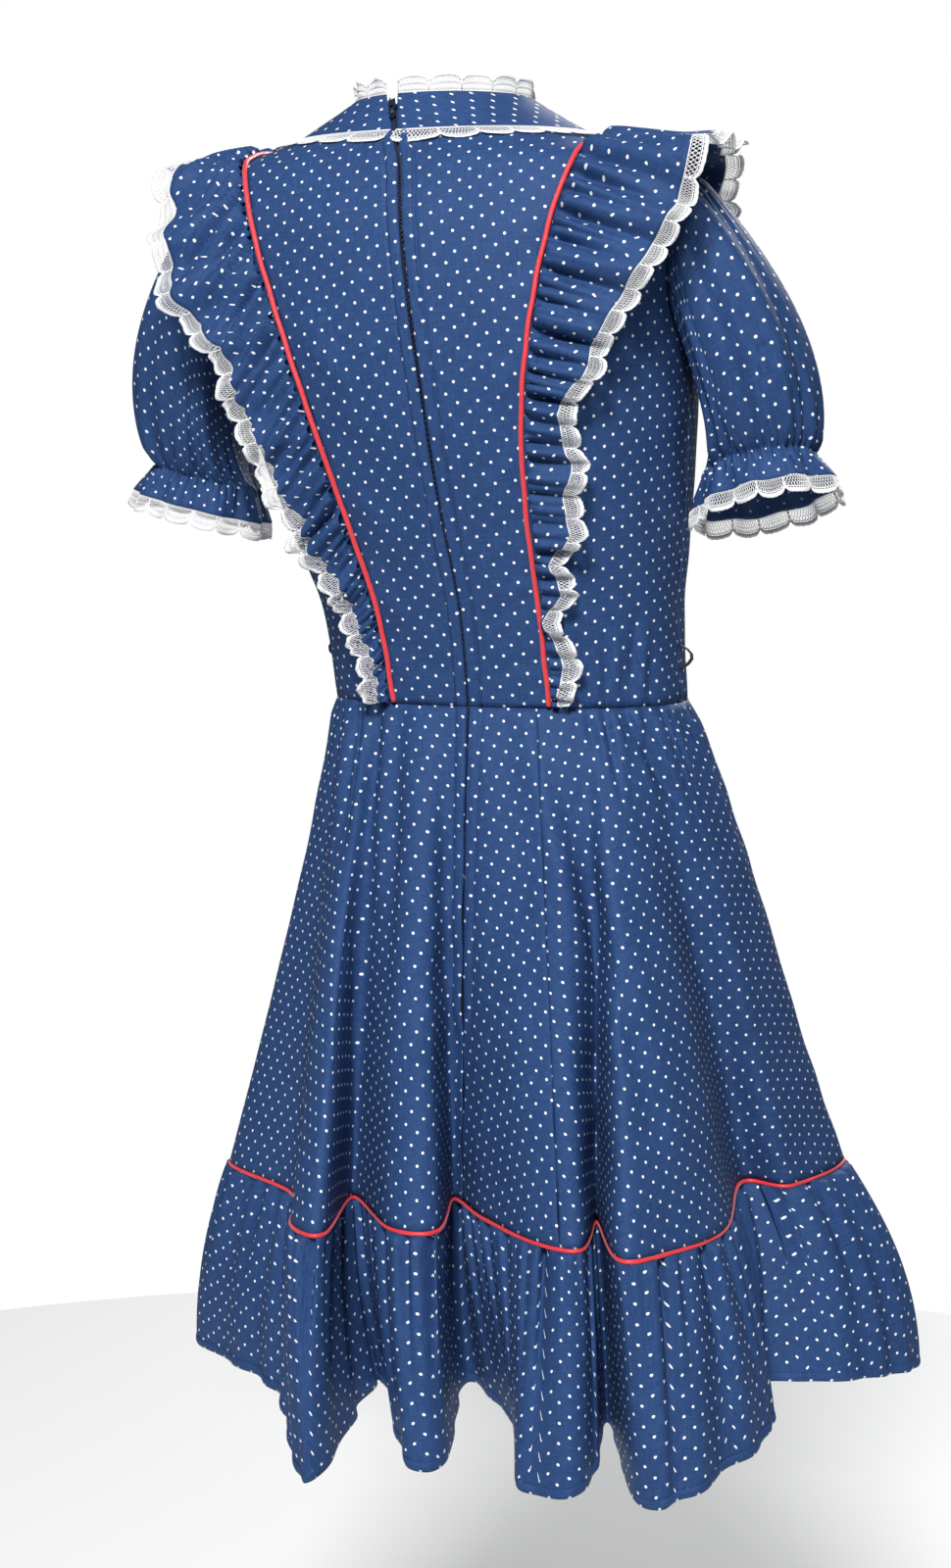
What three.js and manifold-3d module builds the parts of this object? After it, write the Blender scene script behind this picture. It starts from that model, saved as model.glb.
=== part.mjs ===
// Square dance dress in mm: back at +Y, front at -Y, wearer's left at +X, origin at the middle of the neck edge.
// Angles go round the body from the centre back, positive towards the wearer's right (-X).
import * as THREE from "three";
import { mergeVertices } from "three/addons/utils/BufferGeometryUtils.js";
import Module from "manifold-3d";

const WALL = 1.2; // cloth with its seam allowances
const LACE_WALL = 1.0;
const SEAM = 0.4; // air between neighbouring pieces
const NAVY = 0x24406f;
const WHITE = 0xf2f1ec;
const RED = 0xd8343f;
const BLACK = 0x15161c;
const STEEL = 0x4a4d55;

// Torso, one row a level from the waist seam up to the neck edge. power squares the section, drop lowers its front.
const TORSO = [
  { z: -390, midX: -34, midY: -33, half: 118, back: 80, front: 92, drop: 0, power: 2.2 },
  { z: -330, midX: -30, midY: -27, half: 121, back: 89, front: 100, drop: 0, power: 2.2 },
  { z: -270, midX: -22, midY: -20, half: 135, back: 101, front: 112, drop: 0, power: 2.25 },
  { z: -210, midX: -15, midY: -13, half: 147, back: 112, front: 126, drop: 0, power: 2.3 },
  { z: -150, midX: -9, midY: -7, half: 156, back: 114, front: 118, drop: 8, power: 2.4 },
  { z: -90, midX: -4, midY: -3, half: 168, back: 106, front: 92, drop: 25, power: 2.5 },
  { z: -50, midX: -2, midY: -1, half: 168, back: 90, front: 62, drop: 38, power: 2.5 },
  { z: -36, midX: -1, midY: 0, half: 134, back: 79, front: 56, drop: 44, power: 2.4 },
  { z: -25, midX: -1, midY: 0, half: 105, back: 69, front: 52, drop: 46, power: 2.2 },
  { z: -12, midX: 0, midY: 0, half: 82, back: 59, front: 48, drop: 42, power: 2.1 },
  { z: 2, midX: 0, midY: 0, half: 60, back: 50, front: 46, drop: 40, power: 2.0 },
];
const YOKE_LEVEL = 8;
const NECK_LEVEL = 10;
const TIP_LEVEL = 6; // shoulder tip, the armhole's top
const ARMPIT_LEVEL = 3.85;
const ARMHOLE_SWING = 20; // degrees from the side to the armhole's back and front edges

// Seam lines by the same levels: the zip's offset from the middle, the width of its opening, the princess seams' offset.
const SEAMS = [
  { zip: 0, opening: 3.4, princess: 52 },
  { zip: 4, opening: 3.4, princess: 54 },
  { zip: 7, opening: 3.4, princess: 60 },
  { zip: 10, opening: 3.4, princess: 69 },
  { zip: 9, opening: 3.4, princess: 82 },
  { zip: 5, opening: 3.4, princess: 98 },
  { zip: 0, opening: 3.4, princess: 110 },
  { zip: -5, opening: 3.4, princess: 116 },
  { zip: -9, opening: 3.6, princess: 120 },
  { zip: -13, opening: 6.4, princess: 123 },
  { zip: -18, opening: 10.4, princess: 126 },
];
const PRINCESS_TOP = 117; // offset at which the princess seam crosses the shoulder

// Shoulder ruffle by height: cloth width and lift off the body (degrees) on each side, and the front's own width.
const RUFFLE = [
  { z: -390, left: 5, right: 4, front: 5, liftLeft: 25, liftRight: 12 },
  { z: -340, left: 9, right: 7, front: 9, liftLeft: 27, liftRight: 12 },
  { z: -300, left: 17, right: 12, front: 15, liftLeft: 27, liftRight: 10 },
  { z: -250, left: 28, right: 19, front: 24, liftLeft: 26, liftRight: 10 },
  { z: -205, left: 34, right: 23, front: 30, liftLeft: 24, liftRight: 12 },
  { z: -160, left: 42, right: 40, front: 40, liftLeft: 22, liftRight: 14 },
  { z: -110, left: 54, right: 56, front: 50, liftLeft: 20, liftRight: 15 },
  { z: -66, left: 52, right: 70, front: 54, liftLeft: 15, liftRight: 14 },
  { z: -31, left: 40, right: 70, front: 47, liftLeft: 7, liftRight: 12 },
];
const RUFFLE_WAVES = 24;
const RUFFLE_LACE = 13;
const RUFFLE_SCALLOPS = 44;
const RUFFLE_SPANS = 96;
const YOKE_LACE = 9.5;
const YOKE_SCALLOPS = 22;
const NECK_LACE = 12;
const NECK_WAVES = 12;
const SCALLOP = 2.4; // depth of the lace's scallops

// Skirt, one row a fold line from the wearer's left side over the back to the right and round the front.
// waist, seam and hem are angles in degrees, seamR and hemR radii from the skirt's axis, hemZ the hem's height.
const FOLDS = [
  { waist: -72, seam: -70.6, seamR: 206, hem: -75.5, hemR: 240, hemZ: -829 },
  { waist: -56, seam: -44.7, seamR: 176, hem: -40, hemR: 202, hemZ: -824 },
  { waist: -44, seam: -26.5, seamR: 212, hem: -22, hemR: 234, hemZ: -846 },
  { waist: -38, seam: -19.4, seamR: 210, hem: -18, hemR: 226, hemZ: -842 },
  { waist: -29, seam: -34.8, seamR: 146, hem: -32.7, hemR: 137, hemZ: -822 },
  { waist: -18, seam: -11.5, seamR: 178, hem: -7, hemR: 200, hemZ: -838 },
  { waist: -11, seam: -2.3, seamR: 169, hem: -0.5, hemR: 190, hemZ: -838 },
  { waist: -4, seam: -12, seamR: 104, hem: -11, hemR: 107, hemZ: -822 },
  { waist: 6, seam: 4, seamR: 134, hem: 10, hemR: 151, hemZ: -826 },
  { waist: 15, seam: 18, seamR: 179, hem: 14, hemR: 212, hemZ: -842 },
  { waist: 25, seam: 26.4, seamR: 196, hem: 24.5, hemR: 217, hemZ: -838 },
  { waist: 34, seam: 34, seamR: 141, hem: 32.5, hemR: 150, hemZ: -826 },
  { waist: 39, seam: 31.6, seamR: 218, hem: 31.6, hemR: 225, hemZ: -845 },
  { waist: 45, seam: 41, seamR: 213, hem: 38, hemR: 239, hemZ: -840 },
  { waist: 51, seam: 56, seamR: 190, hem: 58, hemR: 211, hemZ: -825 },
  { waist: 60, seam: 89, seamR: 142, hem: 75, hemR: 162, hemZ: -822 },
  { waist: 76, seam: 91, seamR: 175, hem: 85.5, hemR: 208, hemZ: -822 },
  { waist: 97, seam: 113, seamR: 208, hem: 104, hemR: 244, hemZ: -831 },
  { waist: 112, seam: 128, seamR: 150, hem: 124, hemR: 156, hemZ: -820 },
  { waist: 123, seam: 139, seamR: 203, hem: 137, hemR: 228, hemZ: -834 },
  { waist: 132, seam: 149, seamR: 203, hem: 150, hemR: 228, hemZ: -834 },
  { waist: 145, seam: 161, seamR: 146, hem: 163, hemR: 150, hemZ: -820 },
  { waist: 157, seam: 173, seamR: 205, hem: 172, hemR: 232, hemZ: -836 },
  { waist: 167, seam: 183, seamR: 205, hem: 185, hemR: 232, hemZ: -836 },
  { waist: 180, seam: 195, seamR: 150, hem: 195, hemR: 154, hemZ: -820 },
  { waist: 192, seam: 207, seamR: 204, hem: 206, hemR: 230, hemZ: -834 },
  { waist: 203, seam: 217, seamR: 204, hem: 218, hemR: 230, hemZ: -834 },
  { waist: 216, seam: 230, seamR: 148, hem: 229, hemR: 154, hemZ: -820 },
  { waist: 228, seam: 241, seamR: 202, hem: 240, hemR: 228, hemZ: -832 },
  { waist: 239, seam: 252, seamR: 202, hem: 252, hemR: 228, hemZ: -832 },
  { waist: 260, seam: 269, seamR: 160, hem: 268, hemR: 170, hemZ: -822 },
];
const SEAM_Z = -704; // where the flounce is sewn on
const SEAM_MID = { x: -44, y: -58 };
const HEM_MID = { x: -51, y: -62 };
const GORE_TOP = 0.002; // shares of the skirt's length at which its gores begin and end
const GORE_END = 0.9975;
const HIP = 9; // fullness below the waist on the right side
const WAIST_GATHERS = 9; // in each side of the skirt
const FLOUNCE_GATHERS = 40;
const FLOUNCE_SPANS = 124;
const GATHER_DEPTH = 1.5;
const ZIP_DEPTH = 0.62; // share of the skirt's upper part that the zip opens
const ZIP_EDGE = 1.7; // from the zip's middle to the cloth's edge below the waist
const TAPE_HALF = 9;
const TAPE_WALL = 0.8;
const TAPE_DROP = 1.55; // air and cloth between the panel's wall and the tape behind it
const PIPING_R = 1.6;
const FLOUNCE_PIPING_R = 1.4;

// Sleeves: middle of the elastic ring and how far the opening turns to the back.
const SLEEVES = {
  left: { x: 184, y: -24, z: -243, turn: 2 },
  right: { x: -205, y: -24, z: -236, turn: 13 },
};
const ELASTIC_R = 35;
const ELASTIC_TILT = 14; // degrees, outer end up
const CUFF_LENGTH = 22;
const CUFF_FLARE = 15;
const CUFF_WAVES = 9;
const CUFF_LACE = 12;
const CUFF_WAVE_DEPTH = 0.13; // share of the length below the elastic
const SLEEVE_SPANS = 36;
const PUFF = { left: 31, right: 24, inside: -10, back: 17, gather: 1.6 };
const ARMHOLE_EASE = 3; // from the armhole's edge in to the sleeve's first ring

const rad = (degrees) => (degrees * Math.PI) / 180;
const add = (a, b, k = 1) => [a[0] + b[0] * k, a[1] + b[1] * k, a[2] + b[2] * k];
const mix = (a, b, t) => [0, 1, 2].map((i) => a[i] + (b[i] - a[i]) * t);
const dot = (a, b) => a[0] * b[0] + a[1] * b[1] + a[2] * b[2];
const cross = (a, b) => [
  a[1] * b[2] - a[2] * b[1],
  a[2] * b[0] - a[0] * b[2],
  a[0] * b[1] - a[1] * b[0],
];
const unit = (a) => {
  const size = Math.hypot(...a) || 1;
  return a.map((x) => x / size);
};

// Smooth value of a table's column at a row number that may lie between rows.
function smooth(rows, column, at, closed = false) {
  const n = rows.length;
  const i = closed ? Math.floor(at) : Math.min(Math.max(Math.floor(at), 0), n - 2);
  const t = at - i;
  const row = (k) => {
    if (closed) return rows[((k % n) + n) % n][column];
    if (k < 0) return 2 * rows[0][column] - rows[1][column];
    if (k > n - 1) return 2 * rows[n - 1][column] - rows[n - 2][column];
    return rows[k][column];
  };
  const [a, b, c, d] = [row(i - 1), row(i), row(i + 1), row(i + 2)];
  return b + 0.5 * t * (c - a + t * (2 * a - 5 * b + 4 * c - d + t * (3 * (b - c) + d - a)));
}

// Row number at which a table's rising column reaches a value.
function rowAt(rows, column, value) {
  for (let i = 0; i < rows.length - 1; i++) {
    const [a, b] = [rows[i][column], rows[i + 1][column]];
    if ((a <= value && value <= b) || (i === rows.length - 2 && value > b))
      return i + Math.min((value - a) / (b - a), 1);
  }
  return 0;
}

const signedRoot = (x, power) => Math.sign(x) * Math.abs(x) ** (2 / power);

function torso(angle, level) {
  const at = (column) => smooth(TORSO, column, level);
  const power = at("power");
  const c = Math.cos(angle);
  return [
    at("midX") - at("half") * signedRoot(Math.sin(angle), power),
    at("midY") + (c > 0 ? at("back") : at("front")) * signedRoot(c, power),
    at("z") - at("drop") * Math.max(0, -c) ** 1.5,
  ];
}

function torsoNormal(angle, level) {
  const step = 0.004;
  const round = add(torso(angle + step, level), torso(angle - step, level), -1);
  const up = add(torso(angle, level + step), torso(angle, level - step), -1);
  return unit(cross(round, up));
}

// Angle on a level at a distance from the middle line, kept a seam's width off the shoulder and side seams.
function angleAt(offset, level) {
  const power = smooth(TORSO, "power", level);
  const share = Math.min(Math.abs(offset) / smooth(TORSO, "half", level), 1);
  const nearest = Math.acos(((0.9 * SEAM) / smooth(TORSO, "back", level)) ** (power / 2));
  return Math.sign(offset) * Math.min(Math.asin(share ** (power / 2)), nearest);
}

// Level at which the shoulder seam is this far from the middle line.
function shoulderLevel(offset) {
  let [low, high] = [TIP_LEVEL, NECK_LEVEL];
  for (let i = 0; i < 30; i++) {
    const middle = (low + high) / 2;
    if (smooth(TORSO, "half", middle) > offset) low = middle;
    else high = middle;
  }
  return low;
}

const princess = (level) => Math.min(smooth(SEAMS, "princess", level), PRINCESS_TOP);
const PRINCESS_LEVEL = shoulderLevel(PRINCESS_TOP);

// Armhole edge: turn 0 at the shoulder tip, a quarter at the back, half at the armpit, three quarters at the front.
function armhole(side, turn) {
  const a = turn * 2 * Math.PI;
  const level = (TIP_LEVEL + ARMPIT_LEVEL) / 2 + ((TIP_LEVEL - ARMPIT_LEVEL) / 2) * Math.cos(a);
  return { angle: side * rad(90 - ARMHOLE_SWING * Math.sin(a)), level };
}

// A wall with thickness through a grid of points, closed at its edges or joined round when it is a tube.
function wallFrom(grid, thickness, tube = false) {
  const nu = grid.length;
  const nv = grid[0].length;
  const at = (i, j) => grid[tube ? (i + nu) % nu : Math.min(Math.max(i, 0), nu - 1)][j];
  const outer = [];
  const inner = [];
  for (let i = 0; i < nu; i++)
    for (let j = 0; j < nv; j++) {
      const du = add(at(i + 1, j), at(i - 1, j), -1);
      const dv = add(grid[i][Math.min(j + 1, nv - 1)], grid[i][Math.max(j - 1, 0)], -1);
      const n = unit(cross(du, dv));
      outer.push(add(grid[i][j], n, thickness / 2));
      inner.push(add(grid[i][j], n, -thickness / 2));
    }
  const points = [...outer, ...inner];
  const back = outer.length;
  const faces = [];
  const quad = (a, b, c, d) => faces.push([a, b, c], [a, c, d]);
  const spans = tube ? nu : nu - 1;
  for (let i = 0; i < spans; i++) {
    const k = (i + 1) % nu;
    for (let j = 0; j < nv - 1; j++) {
      quad(i * nv + j, k * nv + j, k * nv + j + 1, i * nv + j + 1);
      quad(back + i * nv + j, back + i * nv + j + 1, back + k * nv + j + 1, back + k * nv + j);
    }
    quad(i * nv, back + i * nv, back + k * nv, k * nv);
    quad(i * nv + nv - 1, k * nv + nv - 1, back + k * nv + nv - 1, back + i * nv + nv - 1);
  }
  if (!tube)
    for (let j = 0; j < nv - 1; j++) {
      const last = (nu - 1) * nv;
      quad(j, j + 1, back + j + 1, back + j);
      quad(last + j, back + last + j, back + last + j + 1, last + j + 1);
    }
  return solid(points, faces);
}

// A geometry whose faces point out, from points and triangles of one closed surface.
function solid(points, faces) {
  let volume = 0;
  for (const [a, b, c] of faces) volume += dot(points[a], cross(points[b], points[c]));
  const index = volume > 0 ? faces.flat() : faces.map(([a, b, c]) => [a, c, b]).flat();
  const geometry = new THREE.BufferGeometry();
  geometry.setAttribute("position", new THREE.Float32BufferAttribute(points.flat(), 3));
  geometry.setIndex(index);
  geometry.computeVertexNormals();
  return geometry;
}

function gridOf(nu, nv, tube, at) {
  const us = Array.from({ length: tube ? nu : nu + 1 }, (_, i) => i / nu);
  const vs = Array.from({ length: nv + 1 }, (_, j) => j / nv);
  return us.map((u) => vs.map((v) => at(u, v)));
}

// Round cord through points, with flat ends or joined round.
function cordFrom(path, radius, sides, closed = false, up = [0, 0, 1]) {
  const n = path.length;
  const points = [];
  const faces = [];
  path.forEach((p, i) => {
    const next = closed ? path[(i + 1) % n] : path[Math.min(i + 1, n - 1)];
    const previous = closed ? path[(i - 1 + n) % n] : path[Math.max(i - 1, 0)];
    const along = unit(add(next, previous, -1));
    const across = unit(cross(along, up));
    const rise = cross(across, along);
    for (let k = 0; k < sides; k++) {
      const a = (k / sides) * 2 * Math.PI;
      points.push(add(add(p, across, radius * Math.cos(a)), rise, radius * Math.sin(a)));
    }
  });
  const spans = closed ? n : n - 1;
  for (let i = 0; i < spans; i++)
    for (let k = 0; k < sides; k++) {
      const [a, b] = [i * sides + k, i * sides + ((k + 1) % sides)];
      const [c, d] = [((i + 1) % n) * sides + ((k + 1) % sides), ((i + 1) % n) * sides + k];
      faces.push([a, b, c], [a, c, d]);
    }
  if (!closed)
    for (let k = 1; k < sides - 1; k++) {
      faces.push([0, k + 1, k]);
      faces.push([(n - 1) * sides, (n - 1) * sides + k, (n - 1) * sides + k + 1]);
    }
  return solid(points, faces);
}

// Bodice panels

function centreBack(side) {
  const grid = gridOf(5, 12, false, (u, v) => {
    const top = PRINCESS_TOP - SEAM / 2;
    const low = v * PRINCESS_LEVEL;
    const zip = side * smooth(SEAMS, "zip", low);
    const start = zip + smooth(SEAMS, "opening", low) / 2;
    const offset = start + u * (princess(low) - SEAM / 2 - start);
    const zipTop = side * smooth(SEAMS, "zip", PRINCESS_LEVEL);
    const startTop = zipTop + smooth(SEAMS, "opening", PRINCESS_LEVEL) / 2;
    const offsetTop = startTop + u * (top - startTop);
    const yoke = smooth(TORSO, "half", YOKE_LEVEL);
    const topLevel = offsetTop < yoke ? YOKE_LEVEL - 0.05 : shoulderLevel(offsetTop);
    const level = v * topLevel;
    return torso(side * angleAt(offset, level), level);
  });
  return wallFrom(grid, WALL);
}

function centreFront() {
  const grid = gridOf(10, 12, false, (u, v) => {
    const across = 2 * u - 1;
    const offset = across * (princess(v * PRINCESS_LEVEL) - SEAM / 2);
    const offsetTop = Math.abs(across) * (PRINCESS_TOP - SEAM / 2);
    const yoke = smooth(TORSO, "half", YOKE_LEVEL);
    const topLevel = offsetTop < yoke ? YOKE_LEVEL - 0.05 : shoulderLevel(offsetTop);
    const level = v * topLevel;
    return torso(Math.PI - angleAt(offset, level), level);
  });
  return wallFrom(grid, WALL);
}

// Share of a side panel's length that lies below the armhole.
const BELOW_ARM = 0.43;

// Panel from a princess seam to the side seam and the armhole, on the back (face 1) or the front (face -1).
function sidePanel(side, face) {
  const grid = gridOf(5, 12, false, (u, v) => {
    const low = v * PRINCESS_LEVEL;
    const inner = angleAt(princess(low) + SEAM / 2, low);
    let outer = angleAt(1e3, ARMPIT_LEVEL);
    let outerLevel = (v / BELOW_ARM) * ARMPIT_LEVEL;
    if (v > BELOW_ARM) {
      const hole = armhole(1, 0.5 - ((v - BELOW_ARM) / (1 - BELOW_ARM)) * 0.5);
      outer = Math.min(hole.angle, outer);
      outerLevel = hole.level;
    }
    const angle = inner + u * (outer - inner);
    const level = low + u * (outerLevel - low);
    return torso(face > 0 ? side * angle : Math.PI - side * angle, level);
  });
  return wallFrom(grid, WALL);
}

// Angle of the zip's line on a level, moved by a distance along the back.
const zipAngle = (level, move) => angleAt(smooth(SEAMS, "zip", level) + move, level);

function yoke() {
  const grid = gridOf(36, 2, false, (u, v) => {
    const level = YOKE_LEVEL + 0.03 + v * (NECK_LEVEL - YOKE_LEVEL - 0.05);
    const half = smooth(SEAMS, "opening", level) / 2;
    const start = zipAngle(level, half);
    const end = 2 * Math.PI + zipAngle(level, -half);
    return torso(start + u * (end - start), level);
  });
  return wallFrom(grid, WALL);
}

function neckLace() {
  const grid = gridOf(48, 1, false, (u, v) => {
    const half = smooth(SEAMS, "opening", NECK_LEVEL) / 2;
    const start = zipAngle(NECK_LEVEL, half);
    const angle = start + u * (2 * Math.PI + zipAngle(NECK_LEVEL, -half) - start);
    const base = torso(angle, NECK_LEVEL);
    const out = [-Math.sin(angle), Math.cos(angle), 0];
    const wave = Math.sin(u * 2 * Math.PI * NECK_WAVES) * (0.6 + 1.8 * v);
    return add([base[0], base[1], base[2] + WALL / 2 + NECK_LACE * v], out, wave - 1);
  });
  return wallFrom(grid, LACE_WALL);
}

function yokeLace() {
  const grid = gridOf(44, 1, false, (u, v) => {
    const level = YOKE_LEVEL + 0.02;
    const half = smooth(SEAMS, "opening", level) / 2;
    const start = zipAngle(level, half);
    const angle = start + u * (2 * Math.PI + zipAngle(level, -half) - start);
    const edge = torso(angle, level);
    const below = torso(angle, level - 0.3);
    const down = unit(add(below, edge, -1));
    const scallop = Math.abs(Math.sin(u * Math.PI * YOKE_SCALLOPS));
    const reach = 0.5 + v * (YOKE_LACE + SCALLOP * scallop);
    const lift = WALL / 2 + LACE_WALL / 2 + 0.6 + 0.8 * v;
    return add(add(edge, down, reach), torsoNormal(angle, level - 0.3 * v), lift);
  });
  return wallFrom(grid, LACE_WALL);
}

// Princess seams, ruffles and piping

// Points along a princess seam with their surface normal, outward direction and length, back waist to front waist.
function princessPath(side) {
  const steps = 240;
  const path = [];
  for (let k = 0; k <= 2 * steps; k++) {
    const onBack = k <= steps;
    const level = (PRINCESS_LEVEL * (onBack ? k : 2 * steps - k)) / steps;
    const angle = side * angleAt(princess(level), level);
    const turned = onBack ? angle : Math.PI - angle;
    path.push({ point: torso(turned, level), normal: torsoNormal(turned, level), onBack });
  }
  let length = 0;
  path.forEach((p, k) => {
    const previous = path[Math.max(k - 4, 0)].point;
    const along = unit(add(path[Math.min(k + 4, 2 * steps)].point, previous, -1));
    p.out = unit(cross(p.normal, along));
    if (p.out[0] * -side < 0) p.out = p.out.map((x) => -x);
    if (k) length += Math.hypot(...add(p.point, path[k - 1].point, -1));
    p.length = length;
  });
  return path;
}

function alongPath(path, share) {
  const wanted = share * path[path.length - 1].length;
  let k = 1;
  while (k < path.length - 1 && path[k].length < wanted) k++;
  const [a, b] = [path[k - 1], path[k]];
  const t = (wanted - a.length) / (b.length - a.length || 1);
  return {
    point: mix(a.point, b.point, t),
    normal: unit(mix(a.normal, b.normal, t)),
    out: unit(mix(a.out, b.out, t)),
    onBack: a.onBack,
  };
}

const PATHS = { left: princessPath(-1), right: princessPath(1) };
const RUFFLE_END = 0.004; // share of the seam left free at each end of a ruffle

// Point on a ruffle: reach 0 at the piping and 1 at the cloth's edge, beyond in mm of lace past that edge.
function rufflePoint(name, share, reach, beyond) {
  const at = alongPath(PATHS[name], share);
  const row = rowAt(RUFFLE, "z", at.point[2]);
  const blend = at.onBack ? 0 : Math.min(Math.max((share - 0.5) / 0.08, 0), 1);
  const back = smooth(RUFFLE, name, row);
  const width = back + (smooth(RUFFLE, "front", row) - back) * blend;
  const lift = rad(smooth(RUFFLE, name === "left" ? "liftLeft" : "liftRight", row));
  const start = PIPING_R + 0.9;
  const distance = start + width * reach + beyond;
  const phase = share * 2 * Math.PI * RUFFLE_WAVES;
  const size = 0.5 + Math.min((distance / 80) * 4.2, width * 0.12);
  const wave = size * Math.sin(phase) + size * 0.35 * Math.sin(phase * 0.37 + 1);
  const over = WALL + 1.3 + size * 0.9;
  const sag = (distance * distance) / 900;
  const turned = add(at.point, at.out, distance * Math.cos(lift));
  return add(turned, at.normal, over + distance * Math.sin(lift) + wave - sag * Math.sin(lift));
}

function ruffle(name) {
  const grid = gridOf(RUFFLE_SPANS, 2, false, (u, v) => rufflePoint(name, RUFFLE_END + u * (1 - 2 * RUFFLE_END), v, 0));
  return wallFrom(grid, WALL);
}

function ruffleLace(name) {
  const grid = gridOf(RUFFLE_SPANS, 1, false, (u, v) => {
    const scallop = Math.abs(Math.sin(u * Math.PI * RUFFLE_SCALLOPS));
    const beyond = 0.4 + v * (RUFFLE_LACE - SCALLOP + SCALLOP * scallop);
    return rufflePoint(name, RUFFLE_END + u * (1 - 2 * RUFFLE_END), 1, beyond);
  });
  return wallFrom(grid, LACE_WALL);
}

function princessPiping(name) {
  const path = Array.from({ length: 41 }, (_, k) => {
    const u = k / 20 - 1;
    const at = alongPath(PATHS[name], 0.5 + 0.498 * Math.sign(u) * Math.abs(u) ** 1.6);
    return add(at.point, at.normal, WALL / 2 + 0.9 + PIPING_R);
  });
  return cordFrom(path, PIPING_R, 6, false, [1, 0, 0]);
}

// Sleeves

// Point on a sleeve: turn as on the armhole, share 0 at the armhole, 1 at the elastic, past 1 the cuff in mm.
function sleevePoint(name, turn, share, cuff) {
  const side = name === "right" ? 1 : -1;
  const arm = SLEEVES[name];
  const tilt = rad(ELASTIC_TILT);
  const back = rad(arm.turn);
  const outward = [-side * Math.cos(tilt), 0, Math.sin(tilt)];
  const backward = [0, Math.cos(back), Math.sin(back)];
  const down = unit(cross(outward, backward)).map((x) => x * side);
  const a = turn * 2 * Math.PI;
  const radial = add(outward.map((x) => x * Math.cos(a)), backward, Math.sin(a));
  const middle = [arm.x, arm.y, arm.z];
  const hole = armhole(side, turn);
  const edge = torso(hole.angle, hole.level);
  const centre = mix(torso(side * Math.PI / 2, TIP_LEVEL), torso(side * Math.PI / 2, ARMPIT_LEVEL), 0.5);
  const start = add(edge, unit(add(centre, edge, -1)), WALL / 2 + SEAM + ARMHOLE_EASE);
  const end = add(middle, radial, ELASTIC_R);
  if (cuff > 0) {
    const flare = CUFF_FLARE * Math.sin((Math.min(cuff / CUFF_LENGTH, 1.6) * Math.PI) / 3.2);
    const wave = CUFF_WAVE_DEPTH * Math.min(cuff, CUFF_LENGTH) * Math.sin(turn * 2 * Math.PI * CUFF_WAVES);
    return add(add(end, down, cuff), radial, flare + wave);
  }
  const sideways = Math.cos(a) * (Math.cos(a) < 0 ? PUFF.inside : PUFF[name]);
  const puff = add(outward.map((x) => x * sideways), backward, PUFF.back * Math.sin(a));
  const swell = Math.sin(Math.PI * Math.min(share, 1)) ** 0.7;
  const gather = PUFF.gather * share ** 4 * Math.sin(turn * 2 * Math.PI * CUFF_WAVES);
  return add(add(mix(start, end, share), puff, swell), radial, gather);
}

function sleeve(name) {
  const shares = [0, 0.14, 0.36, 0.62, 0.86, 1];
  const grid = Array.from({ length: SLEEVE_SPANS }, (_, i) => [
    ...shares.map((share) => sleevePoint(name, i / SLEEVE_SPANS, share, 0)),
    sleevePoint(name, i / SLEEVE_SPANS, 1, CUFF_LENGTH),
  ]);
  return wallFrom(grid, WALL, true);
}

function cuffLace(name) {
  const grid = Array.from({ length: SLEEVE_SPANS }, (_, i) => [
    sleevePoint(name, i / SLEEVE_SPANS, 1, CUFF_LENGTH + 0.5),
    sleevePoint(name, i / SLEEVE_SPANS, 1, CUFF_LENGTH + CUFF_LACE - (i % 2 ? SCALLOP : 0)),
  ]);
  return wallFrom(grid, LACE_WALL, true);
}

// Skirt and flounce

const polar = (middle, degrees, radius, z) => [
  middle.x - radius * Math.sin(rad(degrees)),
  middle.y + radius * Math.cos(rad(degrees)),
  z,
];
const RINGS = FOLDS.map((row) => {
  const [sx, sy] = polar(SEAM_MID, row.seam, row.seamR, 0);
  const [hx, hy] = polar(HEM_MID, row.hem, row.hemR, 0);
  return { ...row, sx, sy, hx, hy };
});
const ENVELOPE_R = 186; // the skirt's mean reach at the flounce seam

// The waist angle grows by a whole turn over the table, which a closed spline needs taken out first.
const WOUND = RINGS.map((row, k) => ({ bent: row.waist - (360 * k) / RINGS.length }));
const waistAngle = (fold) => smooth(WOUND, "bent", fold, true) + (360 * fold) / RINGS.length;

// Row number of the table at a waist angle.
function foldAt(degrees) {
  let [low, high] = [-3, RINGS.length];
  for (let i = 0; i < 40; i++) {
    const middle = (low + high) / 2;
    if (waistAngle(middle) < degrees) low = middle;
    else high = middle;
  }
  return low;
}

function seamPoint(fold) {
  return [smooth(RINGS, "sx", fold, true), smooth(RINGS, "sy", fold, true), SEAM_Z];
}

// Point on the skirt between the waist seam (0) and the flounce seam (1).
function skirtPoint(fold, down) {
  const degrees = waistAngle(fold);
  const waist = torso(rad(degrees), 0);
  const envelope = polar(SEAM_MID, degrees + 2, ENVELOPE_R, SEAM_Z);
  const folds = add(seamPoint(fold), envelope, -1);
  const sideways = Math.max(0, Math.abs(Math.sin(rad(degrees))) - 0.45) * 1.8;
  const gather = sideways * 5 * down * (1 - down) ** 6;
  const wave = 2.4 * gather * Math.sin(rad(degrees) * WAIST_GATHERS * 2);
  const base = add(mix(waist, envelope, down), folds, Math.max(down, 0) ** 1.5);
  const out = [-Math.sin(rad(degrees)), Math.cos(rad(degrees)), 0];
  const hip = HIP * 6.75 * down * (1 - down) ** 2 * Math.max(0, Math.sin(rad(degrees)));
  return add(base, out, wave + hip);
}

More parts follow.
